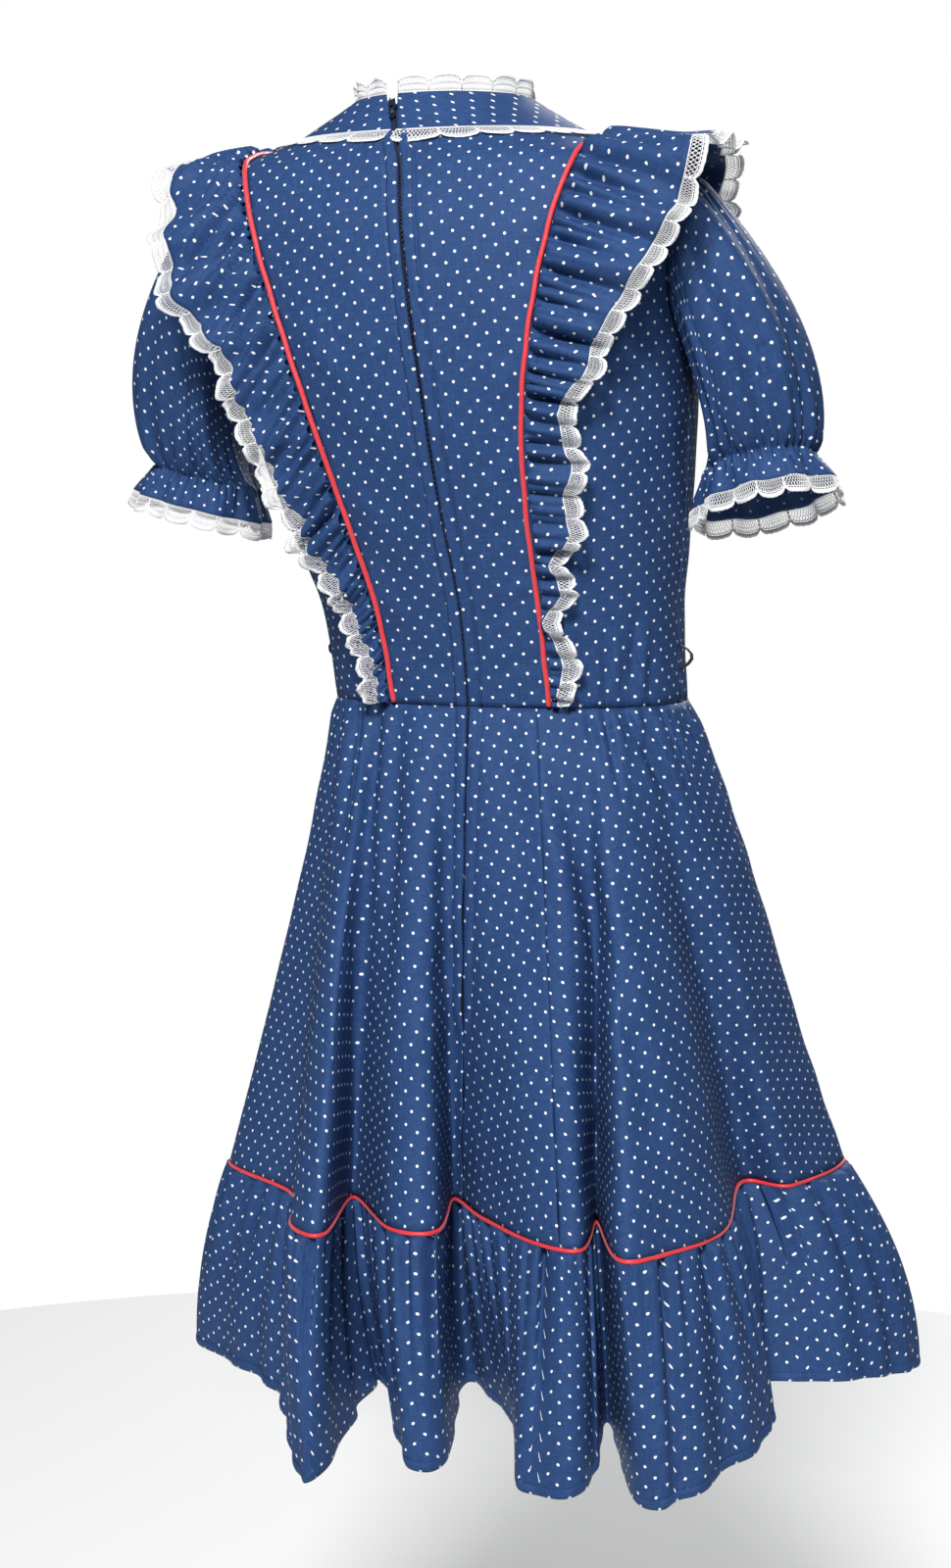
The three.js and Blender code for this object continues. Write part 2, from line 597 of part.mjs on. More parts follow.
// Point on the flounce between its seam (0) and the hem (1).
function flouncePoint(fold, down) {
  const top = seamPoint(fold);
  const hem = ["hx", "hy", "hemZ"].map((column) => smooth(RINGS, column, fold, true));
  const wave = GATHER_DEPTH * Math.sin((fold / RINGS.length) * 2 * Math.PI * FLOUNCE_GATHERS);
  const point = mix(top, hem, down);
  const out = unit([point[0] - SEAM_MID.x, point[1] - SEAM_MID.y, 0]);
  return add(point, out, wave * 4 * down * (1 - down) + 3 * Math.sin(Math.PI * down));
}

// Row number moved sideways along the cloth by a distance.
function beside(fold, down, move) {
  const step = 0.02;
  const span = add(skirtPoint(fold + step, down), skirtPoint(fold - step, down), -1);
  return fold + (move * 2 * step) / Math.hypot(...span);
}

// Gore between two fold rows. Its edges on the centre back stand off by half the zip's opening down to the zip's end.
function gore(from, to, columns, zipEdge = 0) {
  const grid = gridOf(columns, 6, false, (u, v) => {
    const down = GORE_TOP + v * (GORE_END - GORE_TOP);
    const open = down < ZIP_DEPTH ? ZIP_EDGE : SEAM / 2;
    const a = beside(from, down, zipEdge > 0 ? open : SEAM / 2);
    const b = beside(to, down, zipEdge < 0 ? -open : -SEAM / 2);
    return skirtPoint(a + u * (b - a), down);
  });
  return wallFrom(grid, WALL);
}

function flounce() {
  const grid = gridOf(FLOUNCE_SPANS, 2, true, (u, v) => {
    const point = flouncePoint(u * RINGS.length, v);
    return v === 0 ? add(point, [0, 0, 1], -2 * FLOUNCE_PIPING_R - 0.4) : point;
  });
  return wallFrom(grid, WALL, true);
}

function flouncePiping() {
  const path = Array.from({ length: FLOUNCE_SPANS }, (_, k) =>
    add(seamPoint((k / FLOUNCE_SPANS) * RINGS.length), [0, 0, 1], -FLOUNCE_PIPING_R),
  );
  return cordFrom(path, FLOUNCE_PIPING_R, 4, true);
}

// Zip

const ZIP_FOLD = foldAt(0);

function zipTape() {
  const depth = WALL / 2 + TAPE_DROP;
  const upper = [9.6, 9, 8.4, 7.6, 6.8, 6, 5, 4, 3, 2, 1, 0.3, 0.02].map((level) =>
    [-1, 0, 1].map((k) => {
      const angle = zipAngle(level, k * TAPE_HALF * (level > 8.5 ? 0.6 : 1));
      return add(torso(angle, level), torsoNormal(angle, level), -depth);
    }),
  );
  const lower = [0.01, 0.06, 0.16, 0.28, 0.4, 0.52, ZIP_DEPTH].map((down) =>
    [-1, 0, 1].map((k) => {
      const fold = beside(ZIP_FOLD, down, k * TAPE_HALF);
      const point = skirtPoint(fold, down);
      const across = add(skirtPoint(fold + 0.05, down), skirtPoint(fold - 0.05, down), -1);
      const below = add(skirtPoint(fold, down + 0.02), skirtPoint(fold, down - 0.02), -1);
      const n = unit(cross(across, below));
      return add(point, n[1] > 0 ? n : n.map((x) => -x), -depth);
    }),
  );
  return wallFrom([...upper, ...lower], TAPE_WALL);
}

// Slider and pull tab in the zip's own frame: x across, y up along the zip, z off the back.
const SLIDER = { width: 5.4, length: 8.6, low: -1.1, top: 1.4 };
const BRIDGE = { width: 1.2, length: 6.8, thick: 0.7, clear: 1.5 };
const PULL = { width: 4.1, length: 11.5, thick: 0.8, bar: 0.8, eye: 2.5 };
const PULL_BAR = { y: -1.7, z: SLIDER.top + BRIDGE.clear / 2 };
const SLIDER_LEVEL = 9.42;

function zipFrame() {
  const place = (level) => torso(zipAngle(level, 0), level);
  const up = unit(add(place(SLIDER_LEVEL + 0.3), place(SLIDER_LEVEL - 0.3), -1));
  const off = torsoNormal(zipAngle(SLIDER_LEVEL, 0), SLIDER_LEVEL);
  const across = unit(cross(up, off));
  const axes = [across, up, cross(across, up)].map((a) => new THREE.Vector3(...a));
  return new THREE.Matrix4().makeBasis(...axes).setPosition(...place(SLIDER_LEVEL));
}

const wasm = await Module();
wasm.setup();

function box(width, length, low, high, y = 0) {
  return new THREE.BoxGeometry(width, length, high - low).translate(0, y, (low + high) / 2);
}

function joined(geometries) {
  const solids = geometries.map((geometry) => {
    const bare = geometry.clone().deleteAttribute("normal").deleteAttribute("uv");
    const merged = mergeVertices(bare);
    const vertProperties = merged.attributes.position.array;
    const triVerts = new Uint32Array(merged.index.array);
    return new wasm.Manifold(new wasm.Mesh({ numProp: 3, vertProperties, triVerts }));
  });
  const mesh = solids.reduce((a, b) => a.add(b)).getMesh();
  const geometry = new THREE.BufferGeometry();
  geometry.setAttribute("position", new THREE.BufferAttribute(mesh.vertProperties, 3));
  geometry.setIndex(new THREE.BufferAttribute(mesh.triVerts, 1));
  geometry.computeVertexNormals();
  return geometry;
}

function zipSlider() {
  const { width, length, low, top } = SLIDER;
  const arch = top + BRIDGE.clear;
  const foot = (y) => box(BRIDGE.width, BRIDGE.thick, top - 0.1, arch + 0.1, y);
  const reach = BRIDGE.length / 2 - BRIDGE.thick / 2;
  return joined([
    box(width, length, low, top),
    foot(reach),
    foot(-reach),
    box(BRIDGE.width, BRIDGE.length, arch, arch + BRIDGE.thick),
  ]).applyMatrix4(zipFrame());
}

// The pull hangs from a bar under the bridge, its eye round the bridge's lower foot.
function zipPull() {
  const half = PULL.width / 2;
  const top = PULL.bar / 2;
  const outline = new THREE.Shape();
  outline.moveTo(-half, top).lineTo(half, top).lineTo(half, 1 - PULL.length);
  outline.lineTo(half - 1, -PULL.length).lineTo(1 - half, -PULL.length).lineTo(-half, 1 - PULL.length);
  const hole = (x, high, low) => {
    const path = new THREE.Path();
    path.moveTo(-x, high).lineTo(-x, low).lineTo(x, low).lineTo(x, high).closePath();
    outline.holes.push(path);
  };
  hole(1.2, -top, -top - PULL.eye);
  hole(0.9, 3.4 - PULL.length, 1.6 - PULL.length);
  const plate = new THREE.ExtrudeGeometry(outline, { depth: PULL.thick, bevelEnabled: false });
  plate.translate(0, PULL_BAR.y, PULL_BAR.z - PULL.thick / 2);
  return joined([plate]).applyMatrix4(zipFrame());
}

// Belt loops

function beltLoop(side) {
  const reach = [1.9, 6, 8.5, 8.5, 6, 1.9];
  const path = reach.map((out, k) => {
    const level = 0.62 - 0.26 * (k / 5);
    const angle = side * rad(90);
    return add(torso(angle, level), torsoNormal(angle, level), out);
  });
  return cordFrom(path, 0.9, 5, false, [0, 1, 0]);
}

const group = new THREE.Group();
function piece(name, geometry, colour, roughness = 0.85, metalness = 0) {
  const material = new THREE.MeshStandardMaterial({ color: colour, roughness, metalness });
  const mesh = new THREE.Mesh(geometry, material);
  mesh.name = name;
  group.add(mesh);
}

for (const [name, side] of [["left", -1], ["right", 1]]) {
  piece("back_" + name, centreBack(side), NAVY);
  piece("side_back_" + name, sidePanel(side, 1), NAVY);
  piece("side_front_" + name, sidePanel(side, -1), NAVY);
  piece("piping_" + name, princessPiping(name), RED, 0.6);
  piece("ruffle_" + name, ruffle(name), NAVY);
  piece("ruffle_lace_" + name, ruffleLace(name), WHITE);
  piece("sleeve_" + name, sleeve(name), NAVY);
  piece("cuff_lace_" + name, cuffLace(name), WHITE);
  piece("belt_loop_" + name, beltLoop(side), BLACK);
}
piece("front_centre", centreFront(), NAVY);
piece("yoke", yoke(), NAVY);
piece("neck_lace", neckLace(), WHITE);
piece("yoke_lace", yokeLace(), WHITE);

const GORE_SEAMS = { left: foldAt(-52), right: foldAt(20) };
const SIDE_SEAMS = { left: foldAt(-90), right: foldAt(90) + 1 };
piece("skirt_back_left", gore(GORE_SEAMS.left, ZIP_FOLD, 20, -1), NAVY);
piece("skirt_back_right", gore(ZIP_FOLD, GORE_SEAMS.right, 10, 1), NAVY);
piece("skirt_side_right", gore(GORE_SEAMS.right, SIDE_SEAMS.right, 27), NAVY);
piece("skirt_front", gore(SIDE_SEAMS.right, RINGS.length + SIDE_SEAMS.left, 46), NAVY);
piece("skirt_side_left", gore(SIDE_SEAMS.left, GORE_SEAMS.left, 10), NAVY);
piece("flounce_piping", flouncePiping(), RED, 0.6);
piece("flounce", flounce(), NAVY);
piece("zip_tape", zipTape(), BLACK);
piece("zip_slider", zipSlider(), STEEL, 0.4, 1);
piece("zip_pull", zipPull(), STEEL, 0.4, 1);

export default group;
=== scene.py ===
"""Square dance dress seen from behind: navy cotton with pin dots, ruffles, lace edges, red piping and a back zip.

Sizes are in millimetres until a mesh is made. Back is +Y, the wearer's left is +X, and the neck edge's middle is 0.
"""

import math

import bpy
import numpy as np
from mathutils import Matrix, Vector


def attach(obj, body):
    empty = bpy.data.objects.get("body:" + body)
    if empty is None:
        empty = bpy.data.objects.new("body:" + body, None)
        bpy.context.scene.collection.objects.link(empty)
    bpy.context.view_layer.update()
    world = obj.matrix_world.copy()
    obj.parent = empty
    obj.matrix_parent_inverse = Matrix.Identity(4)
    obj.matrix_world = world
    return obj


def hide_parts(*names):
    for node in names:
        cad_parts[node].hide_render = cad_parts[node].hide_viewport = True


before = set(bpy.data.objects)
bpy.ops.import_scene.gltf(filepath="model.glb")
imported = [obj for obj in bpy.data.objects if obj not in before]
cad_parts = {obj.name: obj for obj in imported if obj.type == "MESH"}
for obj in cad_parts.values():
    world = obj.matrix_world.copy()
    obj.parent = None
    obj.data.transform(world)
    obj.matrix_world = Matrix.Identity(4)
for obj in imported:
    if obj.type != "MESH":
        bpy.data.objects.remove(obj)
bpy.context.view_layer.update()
MM = 0.001

# ---------------------------------------------------------------- sizes

TORSO = {
    "z": [-390, -330, -270, -210, -150, -90, -50, -36, -25, -12, 2],
    "midX": [-34, -30, -22, -15, -9, -4, -2, -1, -1, 0, 0],
    "midY": [-33, -27, -20, -13, -7, -3, -1, 0, 0, 0, 0],
    "half": [118, 121, 135, 147, 156, 168, 168, 134, 105, 82, 60],
    "back": [80, 89, 101, 112, 114, 106, 90, 79, 69, 59, 50],
    "front": [92, 100, 112, 126, 118, 92, 62, 56, 52, 48, 46],
    "drop": [0, 0, 0, 0, 8, 25, 38, 44, 46, 42, 40],
    "power": [2.2, 2.2, 2.25, 2.3, 2.4, 2.5, 2.5, 2.4, 2.2, 2.1, 2.0],
}
SEAMS = {
    "zip": [0, 4, 7, 10, 9, 5, 0, -5, -9, -13, -18],
    "opening": [1.4, 1.5, 1.8, 2.2, 2.6, 3.0, 3.2, 3.4, 3.6, 5.6, 8.8],
    "princess": [52, 54, 60, 69, 82, 98, 110, 116, 120, 123, 126],
}
RUFFLE = {
    "z": [-390, -340, -300, -250, -205, -160, -110, -66, -31],
    "left": [5, 9, 17, 28, 34, 42, 54, 52, 40],
    "right": [4, 7, 12, 19, 23, 40, 56, 70, 70],
    "front": [5, 9, 15, 24, 30, 40, 50, 54, 47],
    "liftLeft": [25, 27, 27, 26, 24, 22, 20, 15, 7],
    "liftRight": [12, 12, 10, 10, 12, 14, 15, 14, 12],
}
FOLDS = {
    "waist": [-72, -56, -44, -38, -29, -18, -11, -4, 6, 15, 25, 34, 39, 45, 51, 60, 76, 97, 112, 123, 132,
              145, 157, 167, 180, 192, 203, 216, 228, 239, 260],
    "seam": [-70.6, -44.7, -26.5, -19.4, -34.8, -11.5, -2.3, -12, 4, 18, 26.4, 34, 31.6, 41, 56, 89, 91, 113,
             128, 139, 149, 161, 173, 183, 195, 207, 217, 230, 241, 252, 269],
    "seamR": [206, 176, 212, 210, 146, 178, 169, 104, 134, 179, 196, 141, 218, 213, 190, 142, 175, 208, 150,
              203, 203, 146, 205, 205, 150, 204, 204, 148, 202, 202, 160],
    "hem": [-75.5, -40, -22, -18, -32.7, -7, -0.5, -11, 10, 14, 24.5, 32.5, 31.6, 38, 58, 75, 85.5, 104, 124, 137,
            150, 163, 172, 185, 195, 206, 218, 229, 240, 252, 268],
    "hemR": [240, 202, 234, 226, 137, 200, 190, 107, 151, 212, 217, 150, 225, 239, 211, 162, 208, 244, 156,
             228, 228, 150, 232, 232, 154, 230, 230, 154, 228, 228, 170],
    "hemZ": [-829, -824, -846, -842, -822, -838, -838, -822, -826, -842, -838, -826, -845, -840, -825, -822,
             -822, -831, -820, -834, -834, -820, -836, -836, -820, -834, -834, -820, -832, -832, -822],
}
TORSO, SEAMS, RUFFLE, FOLDS = (
    {k: np.array(v, float) for k, v in table.items()} for table in (TORSO, SEAMS, RUFFLE, FOLDS)
)
CLOTH, LACE = 0.8, 0.3  # thickness
YOKE_LEVEL, NECK_LEVEL, TIP_LEVEL, ARMPIT_LEVEL = 8, 10, 6, 3.85
ARMHOLE_SWING = 20
PRINCESS_TOP = 117
RUFFLE_WAVES = 24
SEAM_Z = -704
SEAM_MID, HEM_MID = (-44, -58), (-51, -62)
HIP = 9
ENVELOPE_R = 186
ZIP_DEPTH, ZIP_EDGE = 0.62, 0.6
PIPING_R, FLOUNCE_PIPING_R = 1.6, 1.4
SLEEVES = {"left": (184, -24, -243, 2), "right": (-205, -24, -236, 13)}
ELASTIC_R, ELASTIC_TILT = 35, 14
CUFF_LENGTH, CUFF_FLARE, CUFF_WAVES = 22, 15, 9
SLEEVE_START, SLEEVE_LENGTH = 1.4, 150  # inside the armhole's edge, and from there to the elastic
WAIST_GIRTH = 690
LACE_HEIGHT, SCALLOP_PITCH = 13, 20.5
DOT_ROW, DOT_DROP, DOT_R = 12.2, 13.2, 0.92


# ---------------------------------------------------------------- reading the tables


def smooth(table, column, at, closed=False):
    """Smooth value of a table's column at a row number that may lie between rows."""
    rows = table[column]
    n = len(rows)
    at = np.asarray(at, float)
    i = np.floor(at).astype(int)
    if not closed:
        i = np.clip(i, 0, n - 2)
    t = at - i

    def row(k):
        if closed:
            return rows[k % n]
        inside = rows[np.clip(k, 0, n - 1)]
        below = 2 * rows[0] - rows[1]
        above = 2 * rows[-1] - rows[-2]
        return np.where(k < 0, below, np.where(k > n - 1, above, inside))

    a, b, c, d = row(i - 1), row(i), row(i + 1), row(i + 2)
    return b + 0.5 * t * (c - a + t * (2 * a - 5 * b + 4 * c - d + t * (3 * (b - c) + d - a)))


def unit(v):
    return v / np.maximum(np.linalg.norm(v, axis=-1, keepdims=True), 1e-9)


def run_along(points):
    """Length run from the first point, along the first direction of a line or a grid."""
    step = np.linalg.norm(np.diff(points, axis=0), axis=-1)
    return np.concatenate([np.zeros((1,) + step.shape[1:]), np.cumsum(step, 0)])


def run_down(points):
    return run_along(points.swapaxes(0, 1)).swapaxes(0, 1)


def at_length(rows, length, wanted):
    """Rows of a table read at wanted lengths."""
    return np.stack([np.interp(wanted, length, rows[:, i]) for i in range(3)], -1)


def spread(nu, nv):
    """Two grids of shares, along and across a piece."""
    u, v = np.meshgrid(np.linspace(0, 1, nu + 1), np.linspace(0, 1, nv + 1), indexing="ij")
    return u, v


def uneven(t, pitch, seed, parts=4):
    """Irregular waves of about one pitch, between -1 and 1."""
    dice = np.random.default_rng(seed)
    total = 0
    for k in range(parts):
        own = pitch * (0.72 + 0.62 * (k + dice.random() * 0.6) / parts)
        total = total + (0.6 + 0.6 * dice.random()) * np.sin(2 * math.pi * (t / own + dice.random()))
    return total / (0.62 * parts)


def pinched(wave):
    """Waves with broad tops and narrow hollows, as gathers have."""
    return 1 - np.maximum(1.1 - np.clip(wave, -1.3, 1.1), 0) ** 1.7 * 0.75


# ---------------------------------------------------------------- body of the dress


def torso(angle, level):
    """Point on the body at an angle from the middle of the back and at a row number of the table."""
    at = lambda column: smooth(TORSO, column, level)
    power, s, c = at("power"), np.sin(angle), np.cos(angle)
    root = lambda x: np.sign(x) * np.abs(x) ** (2 / power)
    depth = np.where(c > 0, at("back"), at("front"))
    x = at("midX") - at("half") * root(s)
    y = at("midY") + depth * root(c)
    z = at("z") - at("drop") * np.maximum(0, -c) ** 1.5
    return np.stack(np.broadcast_arrays(x, y, z), -1)


def torso_normal(angle, level):
    step = 0.004
    around = torso(angle + step, level) - torso(angle - step, level)
    up = torso(angle, level + step) - torso(angle, level - step)
    return unit(np.cross(around, up))


def angle_at(offset, level, seam=0.2):
    """Angle on a level at a distance from the middle line, short of the side by a seam's width."""
    power = smooth(TORSO, "power", level)
    share = np.minimum(np.abs(offset) / smooth(TORSO, "half", level), 1)
    nearest = np.arccos((seam / smooth(TORSO, "back", level)) ** (power / 2))
    return np.sign(offset) * np.minimum(np.arcsin(share ** (power / 2)), nearest)


def shoulder_level(offset):
    """Level at which the shoulder seam is this far from the middle line."""
    offset = np.asarray(offset, float)
    low, high = np.full(offset.shape, float(TIP_LEVEL)), np.full(offset.shape, float(NECK_LEVEL))
    for _ in range(30):
        middle = (low + high) / 2
        out = smooth(TORSO, "half", middle) > offset
        low, high = np.where(out, middle, low), np.where(out, high, middle)
    return low


def princess(level):
    return np.minimum(smooth(SEAMS, "princess", level), PRINCESS_TOP)


PRINCESS_LEVEL = float(shoulder_level(PRINCESS_TOP))


def armhole(side, turn):
    a = turn * 2 * math.pi
    level = (TIP_LEVEL + ARMPIT_LEVEL) / 2 + (TIP_LEVEL - ARMPIT_LEVEL) / 2 * np.cos(a)
    return side * np.radians(90 - ARMHOLE_SWING * np.sin(a)), level


def top_level(offset):
    """Upper end of a centre panel: the yoke's edge, or the shoulder seam beside it."""
    yoke = smooth(TORSO, "half", YOKE_LEVEL)
    return np.where(offset < yoke, YOKE_LEVEL - 0.03, shoulder_level(np.maximum(offset, yoke)))


def centre_back(side, nu, nv):
    u, v = spread(nu, nv)
    u = u**1.6  # closer columns beside the zip
    low = v * PRINCESS_LEVEL
    start = side * smooth(SEAMS, "zip", low) + smooth(SEAMS, "opening", low) / 2
    offset = start + u * (princess(low) - 0.1 - start)
    start_top = side * smooth(SEAMS, "zip", PRINCESS_LEVEL) + smooth(SEAMS, "opening", PRINCESS_LEVEL) / 2
    offset_top = start_top + u * (PRINCESS_TOP - 0.1 - start_top)
    level = v * top_level(offset_top)
    return torso(side * angle_at(offset, level), level)


def centre_front(nu, nv):
    u, v = spread(nu, nv)
    across = 2 * u - 1
    offset = across * (princess(v * PRINCESS_LEVEL) - 0.1)
    level = v * top_level(np.abs(across) * (PRINCESS_TOP - 0.1))
    return torso(math.pi - angle_at(offset, level), level)


BELOW_ARM = 0.43


def side_panel(side, face, nu, nv):
    """Panel from a princess seam to the side seam and the armhole, on the back (1) or the front (-1)."""
    u, v = spread(nu, nv)
    low = v * PRINCESS_LEVEL
    inner = angle_at(princess(low) + 0.1, low)
    below = angle_at(np.full(v.shape, 1e3), ARMPIT_LEVEL)
    hole_angle, hole_level = armhole(1, 0.5 - np.clip((v - BELOW_ARM) / (1 - BELOW_ARM), 0, 1) * 0.5)
    outer = np.where(v > BELOW_ARM, np.minimum(hole_angle, below), below)
    outer_level = np.where(v > BELOW_ARM, hole_level, v / BELOW_ARM * ARMPIT_LEVEL)
    angle = inner + u * (outer - inner)
    level = low + u * (outer_level - low)
    return torso(side * angle if face > 0 else math.pi - side * angle, level)


def zip_angle(level, move):
    return angle_at(smooth(SEAMS, "zip", level) + move, level)


def round_the_neck(u, level):
    """Angle round the neck from one edge of the zip's opening to the other."""
    half = smooth(SEAMS, "opening", level) / 2
    start, end = zip_angle(level, half), 2 * math.pi + zip_angle(level, -half)
    return start + u * (end - start)


def yoke(nu, nv):
    u, v = spread(nu, nv)
    level = YOKE_LEVEL + 0.02 + v * (NECK_LEVEL - YOKE_LEVEL - 0.03)
    return torso(round_the_neck(u, level), level)


# ---------------------------------------------------------------- princess seams and ruffles


class SeamPath:
    """A princess seam from the back waist over the shoulder to the front waist."""

    def __init__(self, side):
        steps = 240
        k = np.arange(2 * steps + 1)
        self.on_back = k <= steps
        level = PRINCESS_LEVEL * np.where(self.on_back, k, 2 * steps - k) / steps
        angle = side * angle_at(princess(level), level)
        turned = np.where(self.on_back, angle, math.pi - angle)
        self.point = torso(turned, level)
        self.normal = torso_normal(turned, level)
        ahead = self.point[np.minimum(k + 4, 2 * steps)]
        behind = self.point[np.maximum(k - 4, 0)]
        out = unit(np.cross(self.normal, unit(ahead - behind)))
        self.out = np.where((out[:, :1] * -side) < 0, -out, out)
        self.length = run_along(self.point)

    def at(self, share):
        wanted = np.asarray(share) * self.length[-1]
        read = lambda rows: at_length(rows, self.length, wanted)
        back = np.interp(wanted, self.length, self.on_back.astype(float)) > 0.5
        return read(self.point), unit(read(self.normal)), unit(read(self.out)), back


PATHS = {"left": SeamPath(-1), "right": SeamPath(1)}


# Sideways run of each ruffle's edge on the back, by height in mm.
EDGE_RUN = {
    "left": {"z": [-390, -360, -335, -310, -285, -255, -235, -215, -191, -172, -152, -130, -110, -80, -40],
             "out": [0, -2, 2, -2, 3, -1, 3, -2, 1, -5, -9, -2, 3, 1, 0]},
    "right": {"z": [-390, -380, -362, -345, -334, -318, -298, -279, -258, -235, -218, -203, -180, -150, -110, -40],
              "out": [0, -1, 5, -3, -8, 3, -3, 8, 3, 7, 2, -4, 1, -2, 1, 0]},
}


def ruffle_point(name, share, reach, beyond):
    """Point on a ruffle: reach 0 at the piping and 1 at the cloth's edge, beyond in mm of lace past it."""
    point, normal, out, back = PATHS[name].at(share)
    row = np.interp(point[..., 2], RUFFLE["z"], np.arange(len(RUFFLE["z"])))
    blend = np.where(back, 0, np.clip((share - 0.5) / 0.08, 0, 1))
    own = smooth(RUFFLE, name, row)
    width = own + (smooth(RUFFLE, "front", row) - own) * blend
    lift = np.radians(smooth(RUFFLE, "liftLeft" if name == "left" else "liftRight", row))
    distance = PIPING_R + 0.9 + width * reach + beyond
    length = PATHS[name].length[-1]
    phase = share * 2 * math.pi * RUFFLE_WAVES
    size = 0.5 + np.minimum(distance / 80 * 4.2, width * 0.12)
    wave = size * np.sin(phase) + size * 0.35 * np.sin(phase * 0.37 + 1)
    slant = np.clip((0.5 - share) * 14, -1, 1) * (0.75 if name == "left" else 0.12)
    along = share * length + slant * distance
    seed = 3 if name == "left" else 4
    full = np.clip(width / 26, 0.45, 1)
    folds = pinched(uneven(along, 16, seed)) * 5.2 * full
    folds = folds * np.exp(-((distance / 44) ** 2)) * np.clip(distance / 6, 0.3, 1)
    small = pinched(uneven(along, 8, seed + 5)) * 2.5 * np.exp(-distance / 20)
    tucks = uneven(along, 5.4, seed + 10) * 0.7 * np.exp(-distance / 7)
    run = np.interp(point[..., 2], EDGE_RUN[name]["z"], EDGE_RUN[name]["out"]) * np.where(back, 1, 0)
    run = run + uneven(share * length, 31, seed + 20) * 1.2
    run = run * np.clip(distance / np.maximum(width, 10), 0, 1.1)
    over = CLOTH + 1.0 + size * 0.9 + 1.2 * (1 - np.exp(-distance / 7))
    height = over + distance * np.sin(lift) + wave - distance**2 / 900 * np.sin(lift) + folds + small + tucks
    height = np.maximum(height + np.abs(run) * 0.35, 1.0)
    return point + out * (distance * np.cos(lift) + run)[..., None] + normal * height[..., None]


# ---------------------------------------------------------------- sleeves


def sleeve_point(name, turn, share, cuff):
    """Point on a sleeve: turn as on the armhole, share 0 at the armhole, 1 at the elastic, cuff in mm below it."""
    side = 1 if name == "right" else -1
    x, y, z, swing = SLEEVES[name]
    tilt, back = math.radians(ELASTIC_TILT), math.radians(swing)
    outward = np.array([-side * math.cos(tilt), 0, math.sin(tilt)])
    backward = np.array([0, math.cos(back), math.sin(back)])
    down = unit(np.cross(outward, backward)) * side
    a = turn * 2 * math.pi
    c, s = np.cos(a)[..., None], np.sin(a)[..., None]
    radial = outward * c + backward * s
    edge = torso(*armhole(side, turn))
    quarter = side * math.pi / 2
    centre = (torso(quarter, TIP_LEVEL) + torso(quarter, ARMPIT_LEVEL)) / 2
    start = edge + unit(centre - edge) * SLEEVE_START
    girth = 2 * math.pi * ELASTIC_R
    seed = 31 if name == "left" else 37
    seam = np.clip(np.abs(((turn % 1) - 0.5) * 24), 0, 1)  # stills the uneven waves where the sleeve closes
    tucks = np.sin(2 * math.pi * turn * 46 + 1.4 * np.sin(2 * math.pi * turn * 5)) * 1.1
    near = np.exp(-(((1 - share) * SLEEVE_LENGTH + cuff) / 7) ** 2)
    end = np.array([x, y, z]) + radial * ELASTIC_R
    flare = CUFF_FLARE * np.sin(np.minimum(cuff / CUFF_LENGTH, 1.6) * math.pi / 3.2)
    flare = flare * (1 - 0.6 * np.clip(np.sin(a), 0, 1))
    frill = 0.13 * np.minimum(cuff, CUFF_LENGTH) * np.sin(a * CUFF_WAVES)
    crimp = uneven(turn * girth, 9.5, seed + 5) * seam * 2.1
    frill = frill + crimp * np.exp(-cuff / 14) * np.clip(cuff / 3, 0, 1)
    below = end + down * cuff[..., None] + radial * (flare + frill + tucks * near)[..., None]
    sideways = c * np.where(c < 0, -10, 31 if name == "left" else 24)
    swell = np.maximum(np.sin(math.pi * np.clip(share, 0, 1) ** 1.3), 0) ** 0.62
    puff = outward * sideways + backward * (17 * s)
    gather = 1.6 * share**4 * np.sin(a * CUFF_WAVES)
    rise = np.clip(1 - share, 0, 1)
    folds = uneven(turn * 330, 36, seed) * seam * (3.0 * swell)
    fine = uneven(turn * girth, 11, seed + 1) * seam * 3.0 * np.exp(-((rise * SLEEVE_LENGTH) / 30) ** 1.3)
    head = uneven(turn * 300, 11, seed + 2) * seam * 2.0
    head = head * np.exp(-(share * SLEEVE_LENGTH) / 18) * np.clip(share * 12, 0, 1)
    above = start + (end - start) * share[..., None] + puff * swell[..., None]
    fine = fine * np.clip(rise * 20, 0, 1)
    above = above + radial * (gather + folds + fine + head + tucks * near)[..., None]
    return np.where(cuff[..., None] > 0, below, above)


# ---------------------------------------------------------------- skirt and flounce


def polar(middle, degrees, radius, z):
    a = np.radians(degrees)
    parts = middle[0] - radius * np.sin(a), middle[1] + radius * np.cos(a), z
    return np.stack(np.broadcast_arrays(*parts), -1).astype(float)


ROWS = len(FOLDS["waist"])
FOLDS["bent"] = FOLDS["waist"] - 360 * np.arange(ROWS) / ROWS
_ring = polar(SEAM_MID, FOLDS["seam"], FOLDS["seamR"], 0)
FOLDS["sx"], FOLDS["sy"] = _ring[:, 0], _ring[:, 1]
_ring = polar(HEM_MID, FOLDS["hem"], FOLDS["hemR"], 0)
FOLDS["hx"], FOLDS["hy"] = _ring[:, 0], _ring[:, 1]


def waist_angle(fold):
    return smooth(FOLDS, "bent", fold, True) + 360 * np.asarray(fold) / ROWS


def fold_at(degrees):
    low, high = -3.0, float(ROWS)
    for _ in range(40):
        middle = (low + high) / 2
        low, high = (middle, high) if waist_angle(middle) < degrees else (low, middle)
    return low


def seam_point(fold):
    x, y = smooth(FOLDS, "sx", fold, True), smooth(FOLDS, "sy", fold, True)
    return np.stack([x, y, np.full(np.shape(x), float(SEAM_Z))], -1)


